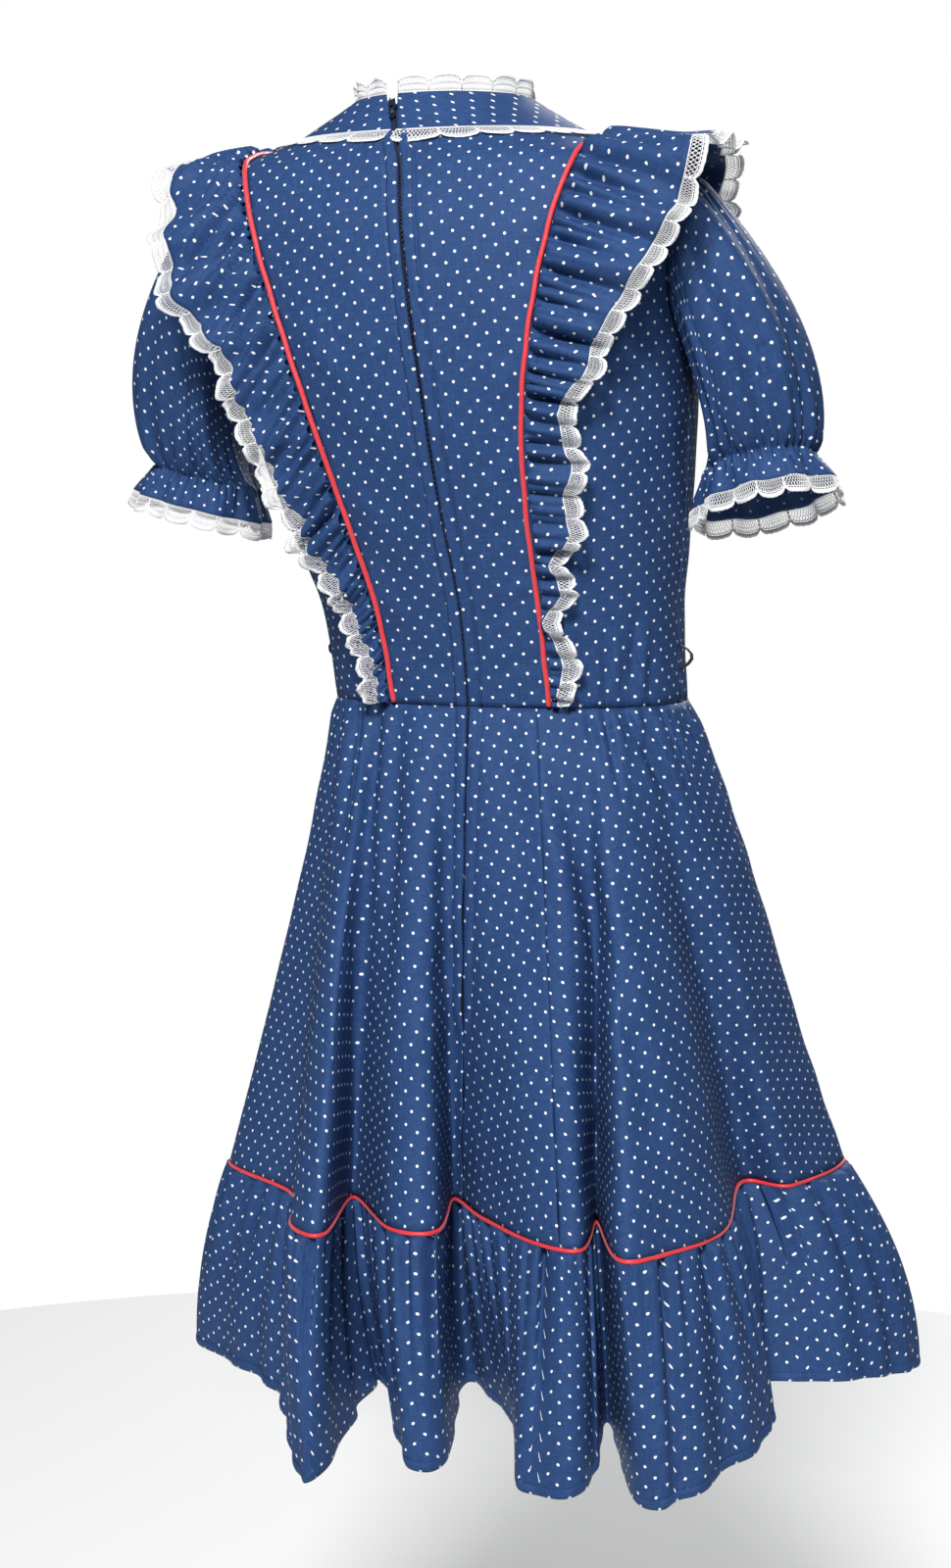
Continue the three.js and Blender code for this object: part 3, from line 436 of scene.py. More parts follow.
def skirt_point(fold, down):
    """Point on the skirt between the waist seam (0) and the flounce seam (1)."""
    degrees = waist_angle(fold)
    a = np.radians(degrees)
    waist = torso(a, np.zeros(np.shape(a)))
    envelope = polar(SEAM_MID, degrees + 2, ENVELOPE_R, SEAM_Z)
    folds = seam_point(fold) - envelope
    sideways = np.maximum(0, np.abs(np.sin(a)) - 0.45) * 1.8
    gather = sideways * 5 * down * (1 - down) ** 6
    wave = 2.4 * gather * np.sin(a * 18)
    ring = degrees / 360 * WAIST_GIRTH
    fine = uneven(ring, 9, 51) * 1.8 * np.exp(-down * 10) + uneven(ring, 23, 52) * 2.6 * np.exp(-down * 3.2)
    fine = sideways * fine * np.clip(down * 22, 0, 1)
    base = waist + (envelope - waist) * down[..., None]
    base = base + folds * (np.maximum(down, 0) ** 1.5)[..., None]
    out = np.stack([-np.sin(a), np.cos(a), np.zeros(np.shape(a))], -1)
    hip = HIP * 6.75 * down * (1 - down) ** 2 * np.maximum(0, np.sin(a))
    return base + out * (wave + hip + fine)[..., None]


def flounce_point(fold, down, ring):
    """Point on the flounce between its seam (0) and the hem (1); ring is the length along the seam in mm."""
    top = seam_point(fold)
    hem = np.stack([smooth(FOLDS, k, fold, True) for k in ("hx", "hy", "hemZ")], -1)
    point = top + (hem - top) * down[..., None]
    out = unit((point - np.array([*SEAM_MID, 0])) * np.array([1, 1, 0]))
    degrees = np.degrees(np.arctan2(-(point[..., 0] - HEM_MID[0]), point[..., 1] - HEM_MID[1]))
    gathers = pinched(uneven(ring, 17, 61)) * 3.0 * np.exp(-((down * 2.1) ** 2)) + uneven(ring, 31, 62) * 2.8
    tucks = uneven(ring, 7, 63) * 1.2 * np.exp(-down * 11)
    billow = 4 + 9 * np.exp(-(((degrees - 104) / 22) ** 2)) + 4 * np.exp(-(((degrees + 78) / 18) ** 2))
    amount = (gathers + tucks) * np.clip(down * 30, 0.05, 1)
    amount = amount + billow * np.sin(math.pi * np.clip(down, 0, 1)) ** 0.8
    return point + out * amount[..., None]


def beside(fold, down, move):
    """Row number moved sideways along the cloth by a distance."""
    step = 0.02
    span = np.linalg.norm(skirt_point(fold + step, down) - skirt_point(fold - step, down), axis=-1)
    return fold + move * 2 * step / span


ZIP_FOLD = fold_at(0)
GORE_SEAMS = {"left": fold_at(-52), "right": fold_at(20)}
SIDE_SEAMS = {"left": fold_at(-90), "right": fold_at(90) + 1}


def gore(start, end, nu, nv, zip_edge=0):
    u, v = spread(nu, nv)
    down = 0.0015 + v * 0.9985
    edge = np.where(down < ZIP_DEPTH, ZIP_EDGE, 0.1)
    a = beside(start, down, edge if zip_edge > 0 else np.full(v.shape, 0.1))
    b = beside(end, down, -edge if zip_edge < 0 else np.full(v.shape, -0.1))
    return skirt_point(a + u * (b - a), down)


# ---------------------------------------------------------------- cloth as a flat cut


def outer_normals(points):
    du, dv = np.gradient(points, axis=0), np.gradient(points, axis=1)
    n = unit(np.cross(du, dv))
    away = points - np.array([-30, -30, 0])
    away[..., 2] = 0
    return n if float((n * away).sum()) > 0 else -n


def turned(uv, degrees):
    c, s = math.cos(math.radians(degrees)), math.sin(math.radians(degrees))
    return np.stack([uv[..., 0] * c - uv[..., 1] * s, uv[..., 0] * s + uv[..., 1] * c], -1)


def flat_cut(points, fan=True):
    """Where each point lay before sewing, in mm, x to the right as seen from outside and y up.

    A piece that flares is unrolled like a cone; a fitted one keeps its grain upright.
    """
    middle = points.shape[0] // 2
    if not fan:
        n = outer_normals(points)
        grain = unit(np.array([0, 0, 1.0]) - n * n[..., 2:3])
        level = np.cross(grain, n)
        step = np.diff(points, axis=0)
        dx = (step * (level[1:] + level[:-1]) / 2).sum(-1)
        dy = (step * (grain[1:] + grain[:-1]) / 2).sum(-1)
        rise = np.diff(points[middle], axis=0)
        mx = (rise * (level[middle, 1:] + level[middle, :-1]) / 2).sum(-1)
        my = (rise * (grain[middle, 1:] + grain[middle, :-1]) / 2).sum(-1)
        spine = [np.concatenate([[0], np.cumsum(m)]) for m in (mx, my)]
        flat = []
        for d, m in ((dx, spine[0]), (dy, spine[1])):
            run = np.concatenate([np.zeros((1, points.shape[1])), np.cumsum(d, 0)])
            flat.append(run - run[middle] + m)
        return np.stack(flat, -1)
    across = run_along(points)
    across = across - across[middle]
    down = run_along(points[middle])
    slope, start = np.polyfit(down, across[-1] - across[0], 1)
    radius = start / slope + down
    angle = across / radius
    return np.stack([radius * np.sin(angle), -radius * np.cos(angle)], -1)


def cut_area(uv):
    """Area of the flat cut in square mm."""
    a, b, c, d = uv[:-1, :-1], uv[1:, :-1], uv[1:, 1:], uv[:-1, 1:]
    p, q = c - a, d - b
    return float(np.abs(p[..., 0] * q[..., 1] - p[..., 1] * q[..., 0]).sum() / 2)


def displaced(points, amount):
    """Points moved off the body by an amount in mm."""
    return points + outer_normals(points) * np.asarray(amount)[..., None]


# Soft creases: across and height of one end and of the other, width and depth, in mm. Those of the back and
# of the skirt are as seen at the photo's angle, those of the front from straight ahead.
BEHIND = np.array([-math.sin(math.radians(20)), math.cos(math.radians(20)), 0])
BEHIND_RIGHT = np.array([-math.cos(math.radians(20)), -math.sin(math.radians(20)), 0])
BACK_CREASES = [
    (84, -306, 29, -343, 5, 0.9), (81, -288, 41, -312, 4.5, -0.8), (90, -337, 29, -367, 5, 0.8),
    (63, -306, 32, -320, 4.5, 0.9), (61, -320, 29, -337, 4, -0.9), (63, -337, 32, -354, 4.5, 0.9),
    (64, -354, 37, -367, 4, -0.8), (64, -367, 41, -374, 3.5, 0.8), (97, -367, 96, -386, 2.6, 1.2),
    (104, -350, 103, -388, 3, -2.0), (108, -345, 108, -388, 3, 1.6), (114, -365, 113, -388, 2.6, -1.3),
    (122, -333, 119, -388, 3, -2.0), (127, -340, 124, -388, 3, 1.7), (133, -358, 131, -388, 2.6, -1.4),
    (57, -155, 29, -204, 10, 1.0), (66, -101, 29, -131, 9, -1.0), (60, -215, 26, -262, 9, 0.9),
    (-91, -149, -55, -192, 9, 1.0), (-79, -204, -43, -240, 9, -1.0), (-64, -252, -31, -276, 7, 0.9),
    (-55, -288, -19, -312, 6, -0.8), (-49, -312, -13, -343, 6, 0.8), (-33, -349, -1, -367, 5, -0.7),
    (-10, -60, -24, -150, 12, 0.9), (90, -210, 126, -288, 11, 1.3), (102, -180, 144, -240, 11, -1.3),
    (120, -288, 144, -349, 9, 1.3), (90, -288, 114, -337, 8, -1.1),
]
SKIRT_CREASES = [
    (-59, -387, -75, -504, 5, 2.4), (-54, -385, -67, -486, 4, -2.4), (-47, -385, -58, -475, 4, 2.6),
    (-41, -385, -49, -475, 3.6, -2.5), (-35, -385, -41, -522, 4.5, 2.3), (-28, -385, -37, -574, 6, -2.3),
    (-15, -386, -21, -589, 11, 2.2), (-62, -404, -88, -592, 8, -1.9), (-71, -486, -91, -627, 10, 2.4),
    (-52, -486, -62, -633, 10, -2.2), (-78, -560, -92, -690, 10, -1.8), (4, -404, 1, -569, 6, -1.1),
    (24, -404, 28, -569, 10, 1.5), (41, -404, 57, -589, 9, -1.2), (53, -390, 95, -589, 10, 3.0),
    (62, -410, 116, -589, 10, -3.2), (88, -463, 141, -639, 12, 2.4), (89, -385, 97, -422, 3, -1.5),
    (95, -385, 103, -428, 3, 1.4), (99, -385, 111, -440, 3, -1.8), (105, -385, 117, -428, 3, 1.5),
    (111, -386, 150, -455, 3.6, -2.8), (116, -386, 156, -449, 4, 2.0), (123, -386, 141, -428, 3, -1.6),
    (128, -386, 150, -428, 3, 1.5), (135, -386, 156, -428, 3, -1.5), (130, -463, 171, -580, 10, -2.0),
    (146, -457, 193, -592, 10, 2.2), (111, -545, 128, -639, 9, -1.9), (150, -560, 178, -690, 10, 1.8),
]
FRONT_CREASES = [
    (-60, -352, -62, -388, 3, 1.2), (-50, -340, -54, -388, 3, -1.2), (40, -350, 42, -388, 3, 1.2),
    (52, -340, 56, -388, 3, -1.2), (-60, -160, 0, -205, 14, 1.2), (60, -150, 10, -215, 14, 1.1),
    (-40, -250, 20, -300, 12, 0.9), (30, -80, -10, -130, 12, 0.9),
]


def creased(points, table=BACK_CREASES, toward=BEHIND, right=BEHIND_RIGHT, strength=1.5):
    n = outer_normals(points)
    facing = np.clip((n @ toward) * 2, 0, 1)
    across, height = points @ right, points[..., 2]
    total = np.zeros(across.shape)
    for x0, z0, x1, z1, width, depth in table:
        dx, dz = x1 - x0, z1 - z0
        t = ((across - x0) * dx + (height - z0) * dz) / (dx * dx + dz * dz)
        off = np.hypot(across - x0 - dx * np.clip(t, 0, 1), height - z0 - dz * np.clip(t, 0, 1))
        total += depth * np.exp(-((off / width) ** 2)) * (0.35 + 0.65 * np.sin(math.pi * np.clip(t, 0, 1)))
    total = total * np.clip((np.abs(height + 390) - 0.5) / 7, 0.35, 1)
    return points + n * (strength * facing * total)[..., None]


def rumpled(points, seed, size=0.5, pitch=55):
    """Slight unevenness of cloth that isn't stretched."""
    x, z = points[..., 0] + 0.4 * points[..., 1], points[..., 2]
    amount = uneven(x + 0.5 * z, pitch, seed) * uneven(z - 0.3 * x, pitch * 1.4, seed + 1)
    return displaced(points, amount * size)


# ---------------------------------------------------------------- meshes


def finish_piece(obj, body, material, slot, *nodes):
    obj.data.materials.append(material)
    for p in obj.data.polygons:
        p.use_smooth = True
    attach(obj, body)
    if nodes:
        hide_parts(*nodes)
    return obj


def mesh_object(name, points, faces, uv=None):
    """An object of points in mm and faces, with its flat cut as a UV map in metres."""
    mesh = bpy.data.meshes.new(name)
    faces = faces.tolist() if isinstance(faces, np.ndarray) else faces
    mesh.from_pydata((np.asarray(points).reshape(-1, 3) * MM).tolist(), [], faces)
    if uv is not None:
        layer = mesh.uv_layers.new(name="cut")
        corners = np.empty(len(mesh.loops), int)
        mesh.loops.foreach_get("vertex_index", corners)
        layer.data.foreach_set("uv", (np.asarray(uv).reshape(-1, 2)[corners] * MM).astype(np.float32).ravel())
    obj = bpy.data.objects.new(name, mesh)
    bpy.context.scene.collection.objects.link(obj)
    return obj


def grid_faces(nu, nv):
    """Faces of a grid of nu by nv points."""
    i, j = np.meshgrid(np.arange(nu - 1), np.arange(nv - 1), indexing="ij")
    return np.stack([i * nv + j, (i + 1) * nv + j, (i + 1) * nv + j + 1, i * nv + j + 1], -1).reshape(-1, 4)


def edit_all(obj, *steps):
    """Runs steps of mesh editing on the whole of an object."""
    bpy.ops.object.select_all(action="DESELECT")
    obj.select_set(True)
    bpy.context.view_layer.objects.active = obj
    bpy.ops.object.mode_set(mode="EDIT")
    bpy.ops.mesh.select_all(action="SELECT")
    for step in steps:
        step()
    bpy.ops.object.mode_set(mode="OBJECT")


def merge_doubles():
    bpy.ops.mesh.remove_doubles(threshold=1e-6)


def face_out():
    bpy.ops.mesh.normals_make_consistent(inside=False)


def outward(points, faces):
    """Faces turned so that most of them look away from the dress's axis."""
    p = np.asarray(points).reshape(-1, 3)
    n = np.cross(p[faces[:, 1]] - p[faces[:, 0]], p[faces[:, 2]] - p[faces[:, 0]])
    middle = p[faces].mean(1)
    away = middle - np.array([-30, -30, 0])
    away[:, 2] = 0
    return faces if float((n * away).sum()) > 0 else faces[:, ::-1]


def thicken(obj, thickness):
    wall = obj.modifiers.new("wall", "SOLIDIFY")
    wall.thickness = thickness * MM
    wall.offset = 0
    wall.use_rim = True


LEAST_SHARE = 0.31  # of its rectangle that a cut fills
HEM_ALLOWANCE = 0.011  # in metres: the hem's fold is as wide again inside


def state_sheet(size, area):
    """Works out a piece's flat area, in metres, clipped to between the least share of its flat size and the whole
    of it; nothing keeps the result.
    """
    area = float(np.clip(area, LEAST_SHARE * size[0] * size[1], size[0] * size[1]))


def cloth(name, points, uv, nodes, closed=False, thickness=CLOTH, grain=0, dots=(1, 1)):
    """A piece of cloth, with its flat cut as the UV map. Grain in degrees turns the dots on the cut, and dots
    stretches them.
    """
    nu, nv = points.shape[:2]
    faces = grid_faces(nu, nv)
    obj = mesh_object(name, points, outward(points, faces), turned(uv * dots, grain))
    if closed:
        edit_all(obj, merge_doubles)
    thicken(obj, thickness)
    finish_piece(obj, "dress", COTTON, "navy_cloth", *nodes)
    # The inside faces take the wrong side, whose darker navy ground is painted shade for the dress's inside.
    obj.data.materials.append(WRONG_SIDE_PAINTED_SHADE)
    obj.modifiers["wall"].material_offset = 1
    size = np.maximum(np.ptp(uv.reshape(-1, 2), axis=0) * MM, HEM_ALLOWANCE)
    state_sheet(size.tolist(), cut_area(uv) * MM * MM)
    return obj


# ---------------------------------------------------------------- materials


def node_tree(name):
    material = bpy.data.materials.new(name)
    material.use_nodes = True
    tree = material.node_tree
    return material, tree, tree.nodes["Principled BSDF"]


def add(tree, kind, **values):
    node = tree.nodes.new(kind)
    for key, value in values.items():
        if hasattr(node, key):
            setattr(node, key, value)
        else:
            node.inputs[key].default_value = value
    return node


def feed(tree, node, values):
    """Links or sets a node's inputs, by number or name."""
    for socket, value in values.items():
        if isinstance(value, bpy.types.NodeSocket):
            tree.links.new(value, node.inputs[socket])
        elif value is not None:
            node.inputs[socket].default_value = value


def vector_node(tree, operation, a, b=None, out="Vector"):
    node = add(tree, "ShaderNodeVectorMath", operation=operation)
    feed(tree, node, {0: a, 1: b})
    return node.outputs[out]


def stretched_noise(tree, source, scale, detail=2.0):
    mapping = add(tree, "ShaderNodeMapping")
    feed(tree, mapping, {"Scale": scale, "Vector": source})
    noise = add(tree, "ShaderNodeTexNoise", Detail=detail, Roughness=0.55)
    feed(tree, noise, {"Scale": 1.0, "Vector": mapping.outputs[0]})
    return noise.outputs["Fac"]


def mixed(tree, factor, a, b):
    node = add(tree, "ShaderNodeMix", data_type="RGBA")
    feed(tree, node, {0: factor, 6: a, 7: b})
    return node.outputs[2]


def ranged(tree, value, low, high, to_low, to_high):
    node = add(tree, "ShaderNodeMapRange", interpolation_type="SMOOTHSTEP")
    feed(tree, node, {0: value, 1: low, 2: high, 3: to_low, 4: to_high})
    return node.outputs[0]


def dotted_cotton(name, light, dark, dots, alpha):
    """Thin navy cotton with small white dots, every second row shifted by half."""
    material, tree, shader = node_tree(name)
    cut = add(tree, "ShaderNodeUVMap", uv_map="cut").outputs[0]
    lattice = add(tree, "ShaderNodeMapping")
    # The cells stand on their corners, so their side is a pitch by the root of two, and the cut is in metres.
    diagonal = 1414.2
    feed(tree, lattice, {"Vector": cut, "Rotation": (0, 0, math.radians(45)),
                         "Scale": (diagonal / DOT_ROW, diagonal / DOT_DROP, 1)})
    cell = vector_node(tree, "FLOOR", lattice.outputs[0])
    inside = vector_node(tree, "SUBTRACT", vector_node(tree, "FRACTION", lattice.outputs[0]), (0.5, 0.5, 0))
    dice = add(tree, "ShaderNodeTexWhiteNoise", noise_dimensions="2D")
    tree.links.new(cell, dice.inputs["Vector"])
    stray = vector_node(tree, "SUBTRACT", dice.outputs["Color"], (0.5, 0.5, 0.5))
    stray = vector_node(tree, "MULTIPLY", stray, (0.05, 0.05, 0))
    inside = vector_node(tree, "MULTIPLY", vector_node(tree, "ADD", inside, stray), (1, 1, 0))
    away = vector_node(tree, "LENGTH", inside, out="Value")
    edge = DOT_R * 2.83 / (DOT_ROW + DOT_DROP)
    dot = ranged(tree, away, edge * 0.86, edge * 1.14, 1.0, 0.0)
    warp = stretched_noise(tree, cut, (2600, 90, 1))
    weft = stretched_noise(tree, cut, (90, 2600, 1))
    sum_node = add(tree, "ShaderNodeMath", operation="ADD")
    feed(tree, sum_node, {0: warp, 1: weft})
    threads = sum_node.outputs[0]
    broad = stretched_noise(tree, cut, (22, 22, 1))
    shade = mixed(tree, ranged(tree, threads, 0.75, 1.25, 0.0, 1.0), dark, light)
    shade = mixed(tree, ranged(tree, broad, 0.3, 0.75, 0.0, 0.3), shade, dark)
    weave = add(tree, "ShaderNodeBump", Strength=0.35, Distance=0.0003)
    feed(tree, weave, {"Height": threads})
    ripple = add(tree, "ShaderNodeBump", Strength=0.45, Distance=0.0012)
    feed(tree, ripple, {"Height": stretched_noise(tree, cut, (95, 60, 1), 3.0), "Normal": weave.outputs[0]})
    feed(tree, shader, {
        "Base Color": mixed(tree, dot, shade, dots),
        "Roughness": ranged(tree, threads, 0.7, 1.3, 0.52, 0.66),
        "Normal": ripple.outputs[0],
        "Alpha": alpha,
        "Specular IOR Level": 0.16,
        "Specular Tint": (0.60, 0.75, 1.0, 1),
    })
    return material


def plain(name, colour, dark, roughness, scale, strength=0.3, metallic=0.0, sheen=0.0, place="cut"):
    """A finish with its own fine grain: colour varied towards a darker one, and a matching bump."""
    material, tree, shader = node_tree(name)
    if place == "cut":
        source = add(tree, "ShaderNodeUVMap", uv_map="cut").outputs[0]
    else:
        source = add(tree, "ShaderNodeTexCoord").outputs["Object"]
    grain = stretched_noise(tree, source, scale)
    bump = add(tree, "ShaderNodeBump", Strength=strength, Distance=0.0003)
    feed(tree, bump, {"Height": grain})
    feed(tree, shader, {
        "Base Color": mixed(tree, ranged(tree, grain, 0.3, 0.7, 0.0, 1.0), dark, colour),
        "Roughness": ranged(tree, grain, 0.2, 0.8, roughness * 1.15, roughness * 0.85),
        "Normal": bump.outputs[0],
        "Metallic": metallic,
        "Sheen Weight": sheen,
    })
    return material


COTTON = dotted_cotton("navy pin-dot cotton", (0.033, 0.080, 0.215, 1), (0.017, 0.043, 0.128, 1),
                       (0.86, 0.88, 0.93, 1), 0.94)
# Wrong side: the dots are dimmer, as the print is on the reverse; the navy ground is darker as painted shade for
# the inside of the dress.
WRONG_SIDE_PAINTED_SHADE = dotted_cotton("navy cotton wrong side with painted shade", (0.024, 0.056, 0.150, 1), (0.014, 0.034, 0.095, 1),
                           (0.22, 0.26, 0.36, 1), 1.0)
WHITE_LACE = plain("white lace", (0.86, 0.86, 0.86, 1), (0.70, 0.70, 0.72, 1), 0.8, (2500, 2500, 1), 0.5,
                   sheen=0.2)
PIPING = plain("red satin piping", (0.80, 0.045, 0.060, 1), (0.62, 0.020, 0.032, 1), 0.42, (1800, 260, 1), 0.4,
               sheen=0.2)
TAPE, COIL, ENAMEL, THREAD, BLACK_THREAD = (
    plain(name, (*colour, 1), (*dark, 1), *values, place="object")
    for name, colour, dark, values in (
        ("navy zip tape", (0.016, 0.022, 0.050), (0.008, 0.011, 0.026), (0.75, (1800, 1800, 400), 0.5)),
        ("nylon coil", (0.018, 0.026, 0.060), (0.010, 0.014, 0.034), (0.35, (900, 900, 900), 0.2)),
        ("navy enamel", (0.020, 0.028, 0.066), (0.014, 0.020, 0.048), (0.26, (500, 500, 500), 0.1, 0.35)),
        ("navy thread", (0.040, 0.080, 0.210), (0.022, 0.048, 0.130), (0.6, (4000, 900, 900), 0.4)),
        ("black thread", (0.012, 0.013, 0.018), (0.006, 0.006, 0.009), (0.6, (2500, 2500, 2500), 0.5)),
    )
)


# ---------------------------------------------------------------- bodice and yoke


SIDES = {"left": -1, "right": 1}
STRIP = 8.0  # from the zip's edge to the stitching
BACK_GRAIN = -8  # degrees by which the back panels' grain leans


def placket(points, from_end=False):
    """The fold and stitch line beside the zip: cloth turned in at the edge and lightly raised to the stitching."""
    gap = np.linalg.norm(points - (points[-1:] if from_end else points[:1]), axis=-1)
    raised = 1.3 * np.clip((STRIP - gap) / 1.6, 0, 1) - 0.9 * np.exp(-(((gap - STRIP) / 1.1) ** 2))
    turned_in = -1.3 * np.exp(-((gap / 0.8) ** 2))
    return displaced(points, raised + turned_in)


def seamed(points, first=True, last=True):
    """Cloth that dips slightly into the seams at its two sides."""
    dip = np.zeros(points.shape[:2])
    for wanted, edge in ((first, points[:1]), (last, points[-1:])):
        if wanted:
            dip = dip - 0.55 * np.exp(-((np.linalg.norm(points - edge, axis=-1) / 1.5) ** 2))
    return displaced(points, dip)


for name, side in SIDES.items():
    points = centre_back(side, 64, 112)
    uv = flat_cut(points, fan=False)
    points = placket(rumpled(creased(points), 70 + side, 0.5))
    cloth("back_" + name + "_cloth", points, uv, ["back_" + name],
          grain=BACK_GRAIN, dots=(0.95, 1))
    for face, word in ((1, "back"), (-1, "front")):
        points = side_panel(side, face, 36, 90)
        uv = flat_cut(points, fan=False)
        if face > 0:
            points = creased(points)
        points = rumpled(points, 80 + side * face, 0.7)
        node = "side_" + word + "_" + name
        cloth(node + "_cloth", points, uv, [node],
              grain=BACK_GRAIN if face > 0 else 0)

points = centre_front(56, 90)
uv = flat_cut(points, fan=False)
points = rumpled(creased(points, FRONT_CREASES, np.array([0, -1, 0]), np.array([1, 0, 0])), 90, 0.7)
cloth("front_centre_cloth", points, uv, ["front_centre"])

whole_yoke = yoke(180, 16)
for name, start, end in (("right", 0, 46), ("front", 46, 134), ("left", 134, 180)):
    points = whole_yoke[start : end + 1]
    nodes = ["yoke"] if name == "front" else []
    cloth("yoke_%s_cloth" % name, rumpled(points, 95, 0.3, 30), flat_cut(points),
          nodes, dots=(0.9, 0.7))


# ---------------------------------------------------------------- ruffles, sleeves, skirt, flounce

RUFFLE_MESH, SLEEVE_MESH, FLOUNCE_MESH = (760, 20), (360, 52), (800, 30)
RUFFLE_GRAIN, RUFFLE_EASE, SLEEVE_EASE = {"left": -22, "right": 14}, (0.9, 0.92), (0.94, 1.10)
CUFF_SHARE = 0.2  # of the sleeve's rows, below the elastic

for name in ("left", "right"):
    u, v = spread(*RUFFLE_MESH)
    points = ruffle_point(name, 0.003 + u * 0.994, v, np.zeros(u.shape))
    along = run_along(points)
    uv = np.stack([run_down(points) * (-1 if name == "left" else 1), along[:, 16:17] + 0 * u], -1)
    cloth("ruffle_" + name + "_cloth", points, uv, ["ruffle_" + name],
          grain=RUFFLE_GRAIN[name], dots=RUFFLE_EASE)

    u, v = spread(*SLEEVE_MESH)
    share = 1 - (1 - np.clip(v / (1 - CUFF_SHARE), 0, 1)) ** 1.25
    cuff = np.clip((v - (1 - CUFF_SHARE)) / CUFF_SHARE, 0, 1) * CUFF_LENGTH
    points = sleeve_point(name, 0.5 + u, share, cuff)
    down = run_down(points)
    fullest = run_along(points)[-1, 24]
    uv = np.stack([u * fullest * (1 if name == "right" else -1), -down.mean(0) + 0 * down], -1)
    cloth("sleeve_" + name + "_cloth", points, uv,
          ["sleeve_" + name], closed=True, dots=SLEEVE_EASE)

GORES = {
    "skirt_back_left": (GORE_SEAMS["left"], ZIP_FOLD, 112, -1, -29),
    "skirt_back_right": (ZIP_FOLD, GORE_SEAMS["right"], 44, 1, -22),
    "skirt_side_right": (GORE_SEAMS["right"], SIDE_SEAMS["right"], 150, 0, -14),
    "skirt_front": (SIDE_SEAMS["right"], ROWS + SIDE_SEAMS["left"], 230, 0, 0),
    "skirt_side_left": (SIDE_SEAMS["left"], GORE_SEAMS["left"], 60, 0, 0),
}
for k, (node, (start, end, columns, zip_edge, grain)) in enumerate(GORES.items()):
    points = gore(start, end, columns, 72, zip_edge)
    uv = flat_cut(points) + np.array([3.1 * k, 2.3 * k])
    points = rumpled(points, 100 + k, 0.9, 70)
    points = creased(points, SKIRT_CREASES) if node != "skirt_front" else points
    points = seamed(points, zip_edge <= 0, zip_edge >= 0)
    if zip_edge:
        low = np.linspace(0, 1, points.shape[1]) > ZIP_DEPTH + 0.02
        points = np.where(low[None, :, None], points, placket(points, zip_edge < 0))
    cloth(node + "_cloth", points, uv, [node], grain=grain,
          dots=(1.07, 1.06))

HEM_FOLD = 5.0  # width of the turned hem
BELOW_PIPING = 2.2
u, v = spread(*FLOUNCE_MESH)
start = fold_at(180)
ring = run_along(seam_point(start + np.linspace(0, ROWS, FLOUNCE_MESH[0] + 1)))
points = flounce_point(start + u * ROWS, v, ring[:, None] + 0 * u)
points[-1] = points[0]
points[:, 0, 2] -= BELOW_PIPING
length = run_along(points[:, -3:]).mean(1)[:, None] + 0 * u
cloth("flounce_cloth", points, np.stack([-run_down(points), length], -1),
      ["flounce"], closed=True, dots=(1.05, 0.97))

edge, above = points[:, -1], points[:, -3]
rise = unit(above - edge)
away = unit((edge - np.array([*HEM_MID, 0])) * np.array([1, 1, 0]))
t = np.array([-0.5, 1.4, 3.2, HEM_FOLD])
fold = edge[:, None] + rise[:, None] * t[:, None] + away[:, None] * np.array([0.5, 1.1, 1.0, 0.7])[:, None]
cloth("flounce_hem_fold", fold, np.stack([t + 0 * length[:, :4], length[:, :4]], -1),
      [], closed=True, thickness=0.5)


# ---------------------------------------------------------------- piping


def tube(name, path, radius, sides, material, slot, nodes, closed=False, twist=0.0, up=(0, 0, 1)):
    """A round cord along points, with its length and girth as the UV map."""
    path = np.asarray(path, float)
    ahead = np.roll(path, -1, 0) if closed else np.vstack([path[1:], path[-1:]])
    behind = np.roll(path, 1, 0) if closed else np.vstack([path[:1], path[:-1]])
    along = unit(ahead - behind)
    across = unit(np.cross(along, np.array(up, float)))
    rise = np.cross(across, along)
    a = np.linspace(0, 2 * math.pi, sides, endpoint=False)[None, :, None]
    points = path[:, None] + radius * (across[:, None] * np.cos(a) + rise[:, None] * np.sin(a))
    n = len(path)
    i, j = np.meshgrid(np.arange(n if closed else n - 1), np.arange(sides), indexing="ij")
    k, m = (i + 1) % n, (j + 1) % sides
    faces = np.stack([i * sides + j, i * sides + m, k * sides + m, k * sides + j], -1).reshape(-1, 4).tolist()
    if not closed:
        faces.append(list(range(sides))[::-1])
        faces.append([(n - 1) * sides + s for s in range(sides)])
    length = run_along(path)
    turn = np.linspace(0, 2 * math.pi * radius, sides, endpoint=False)
    uv = np.stack(np.broadcast_arrays(length[:, None] + twist * turn[None, :], turn[None, :]), -1)
    obj = mesh_object(name, points, faces, uv)
    edit_all(obj, face_out)
    return finish_piece(obj, "dress", material, slot, *nodes)


for name in ("left", "right"):
    s = np.linspace(0.002, 0.998, 400)
    point, normal, out, _ = PATHS[name].at(s)
    slack = 0.25 * uneven(s * PATHS[name].length[-1], 40, 7)
    tube("piping_" + name + "_cord", point + normal * 2.1 + out * slack[:, None], PIPING_R, 12, PIPING,
         "red_piping", ["piping_" + name], twist=1.0, up=(1, 0, 0))
ring_points = seam_point(np.linspace(0, ROWS, 900, endpoint=False))
tube("flounce_piping_cord", ring_points + np.array([0, 0, -FLOUNCE_PIPING_R]), FLOUNCE_PIPING_R, 8, PIPING,
     "red_piping", ["flounce_piping"], closed=True, twist=1.0)


# ---------------------------------------------------------------- lace


LACE_ARCS = [(2.6, 0.0), (3.9, 3.3)]  # along the scallops, as distances in from the rim
HEADING, STRAND = 1.2, 0.33  # widths
CUSP, NET_EDGE = 4.6, 3.4  # depth between two scallops, and where the net ends in from the rim


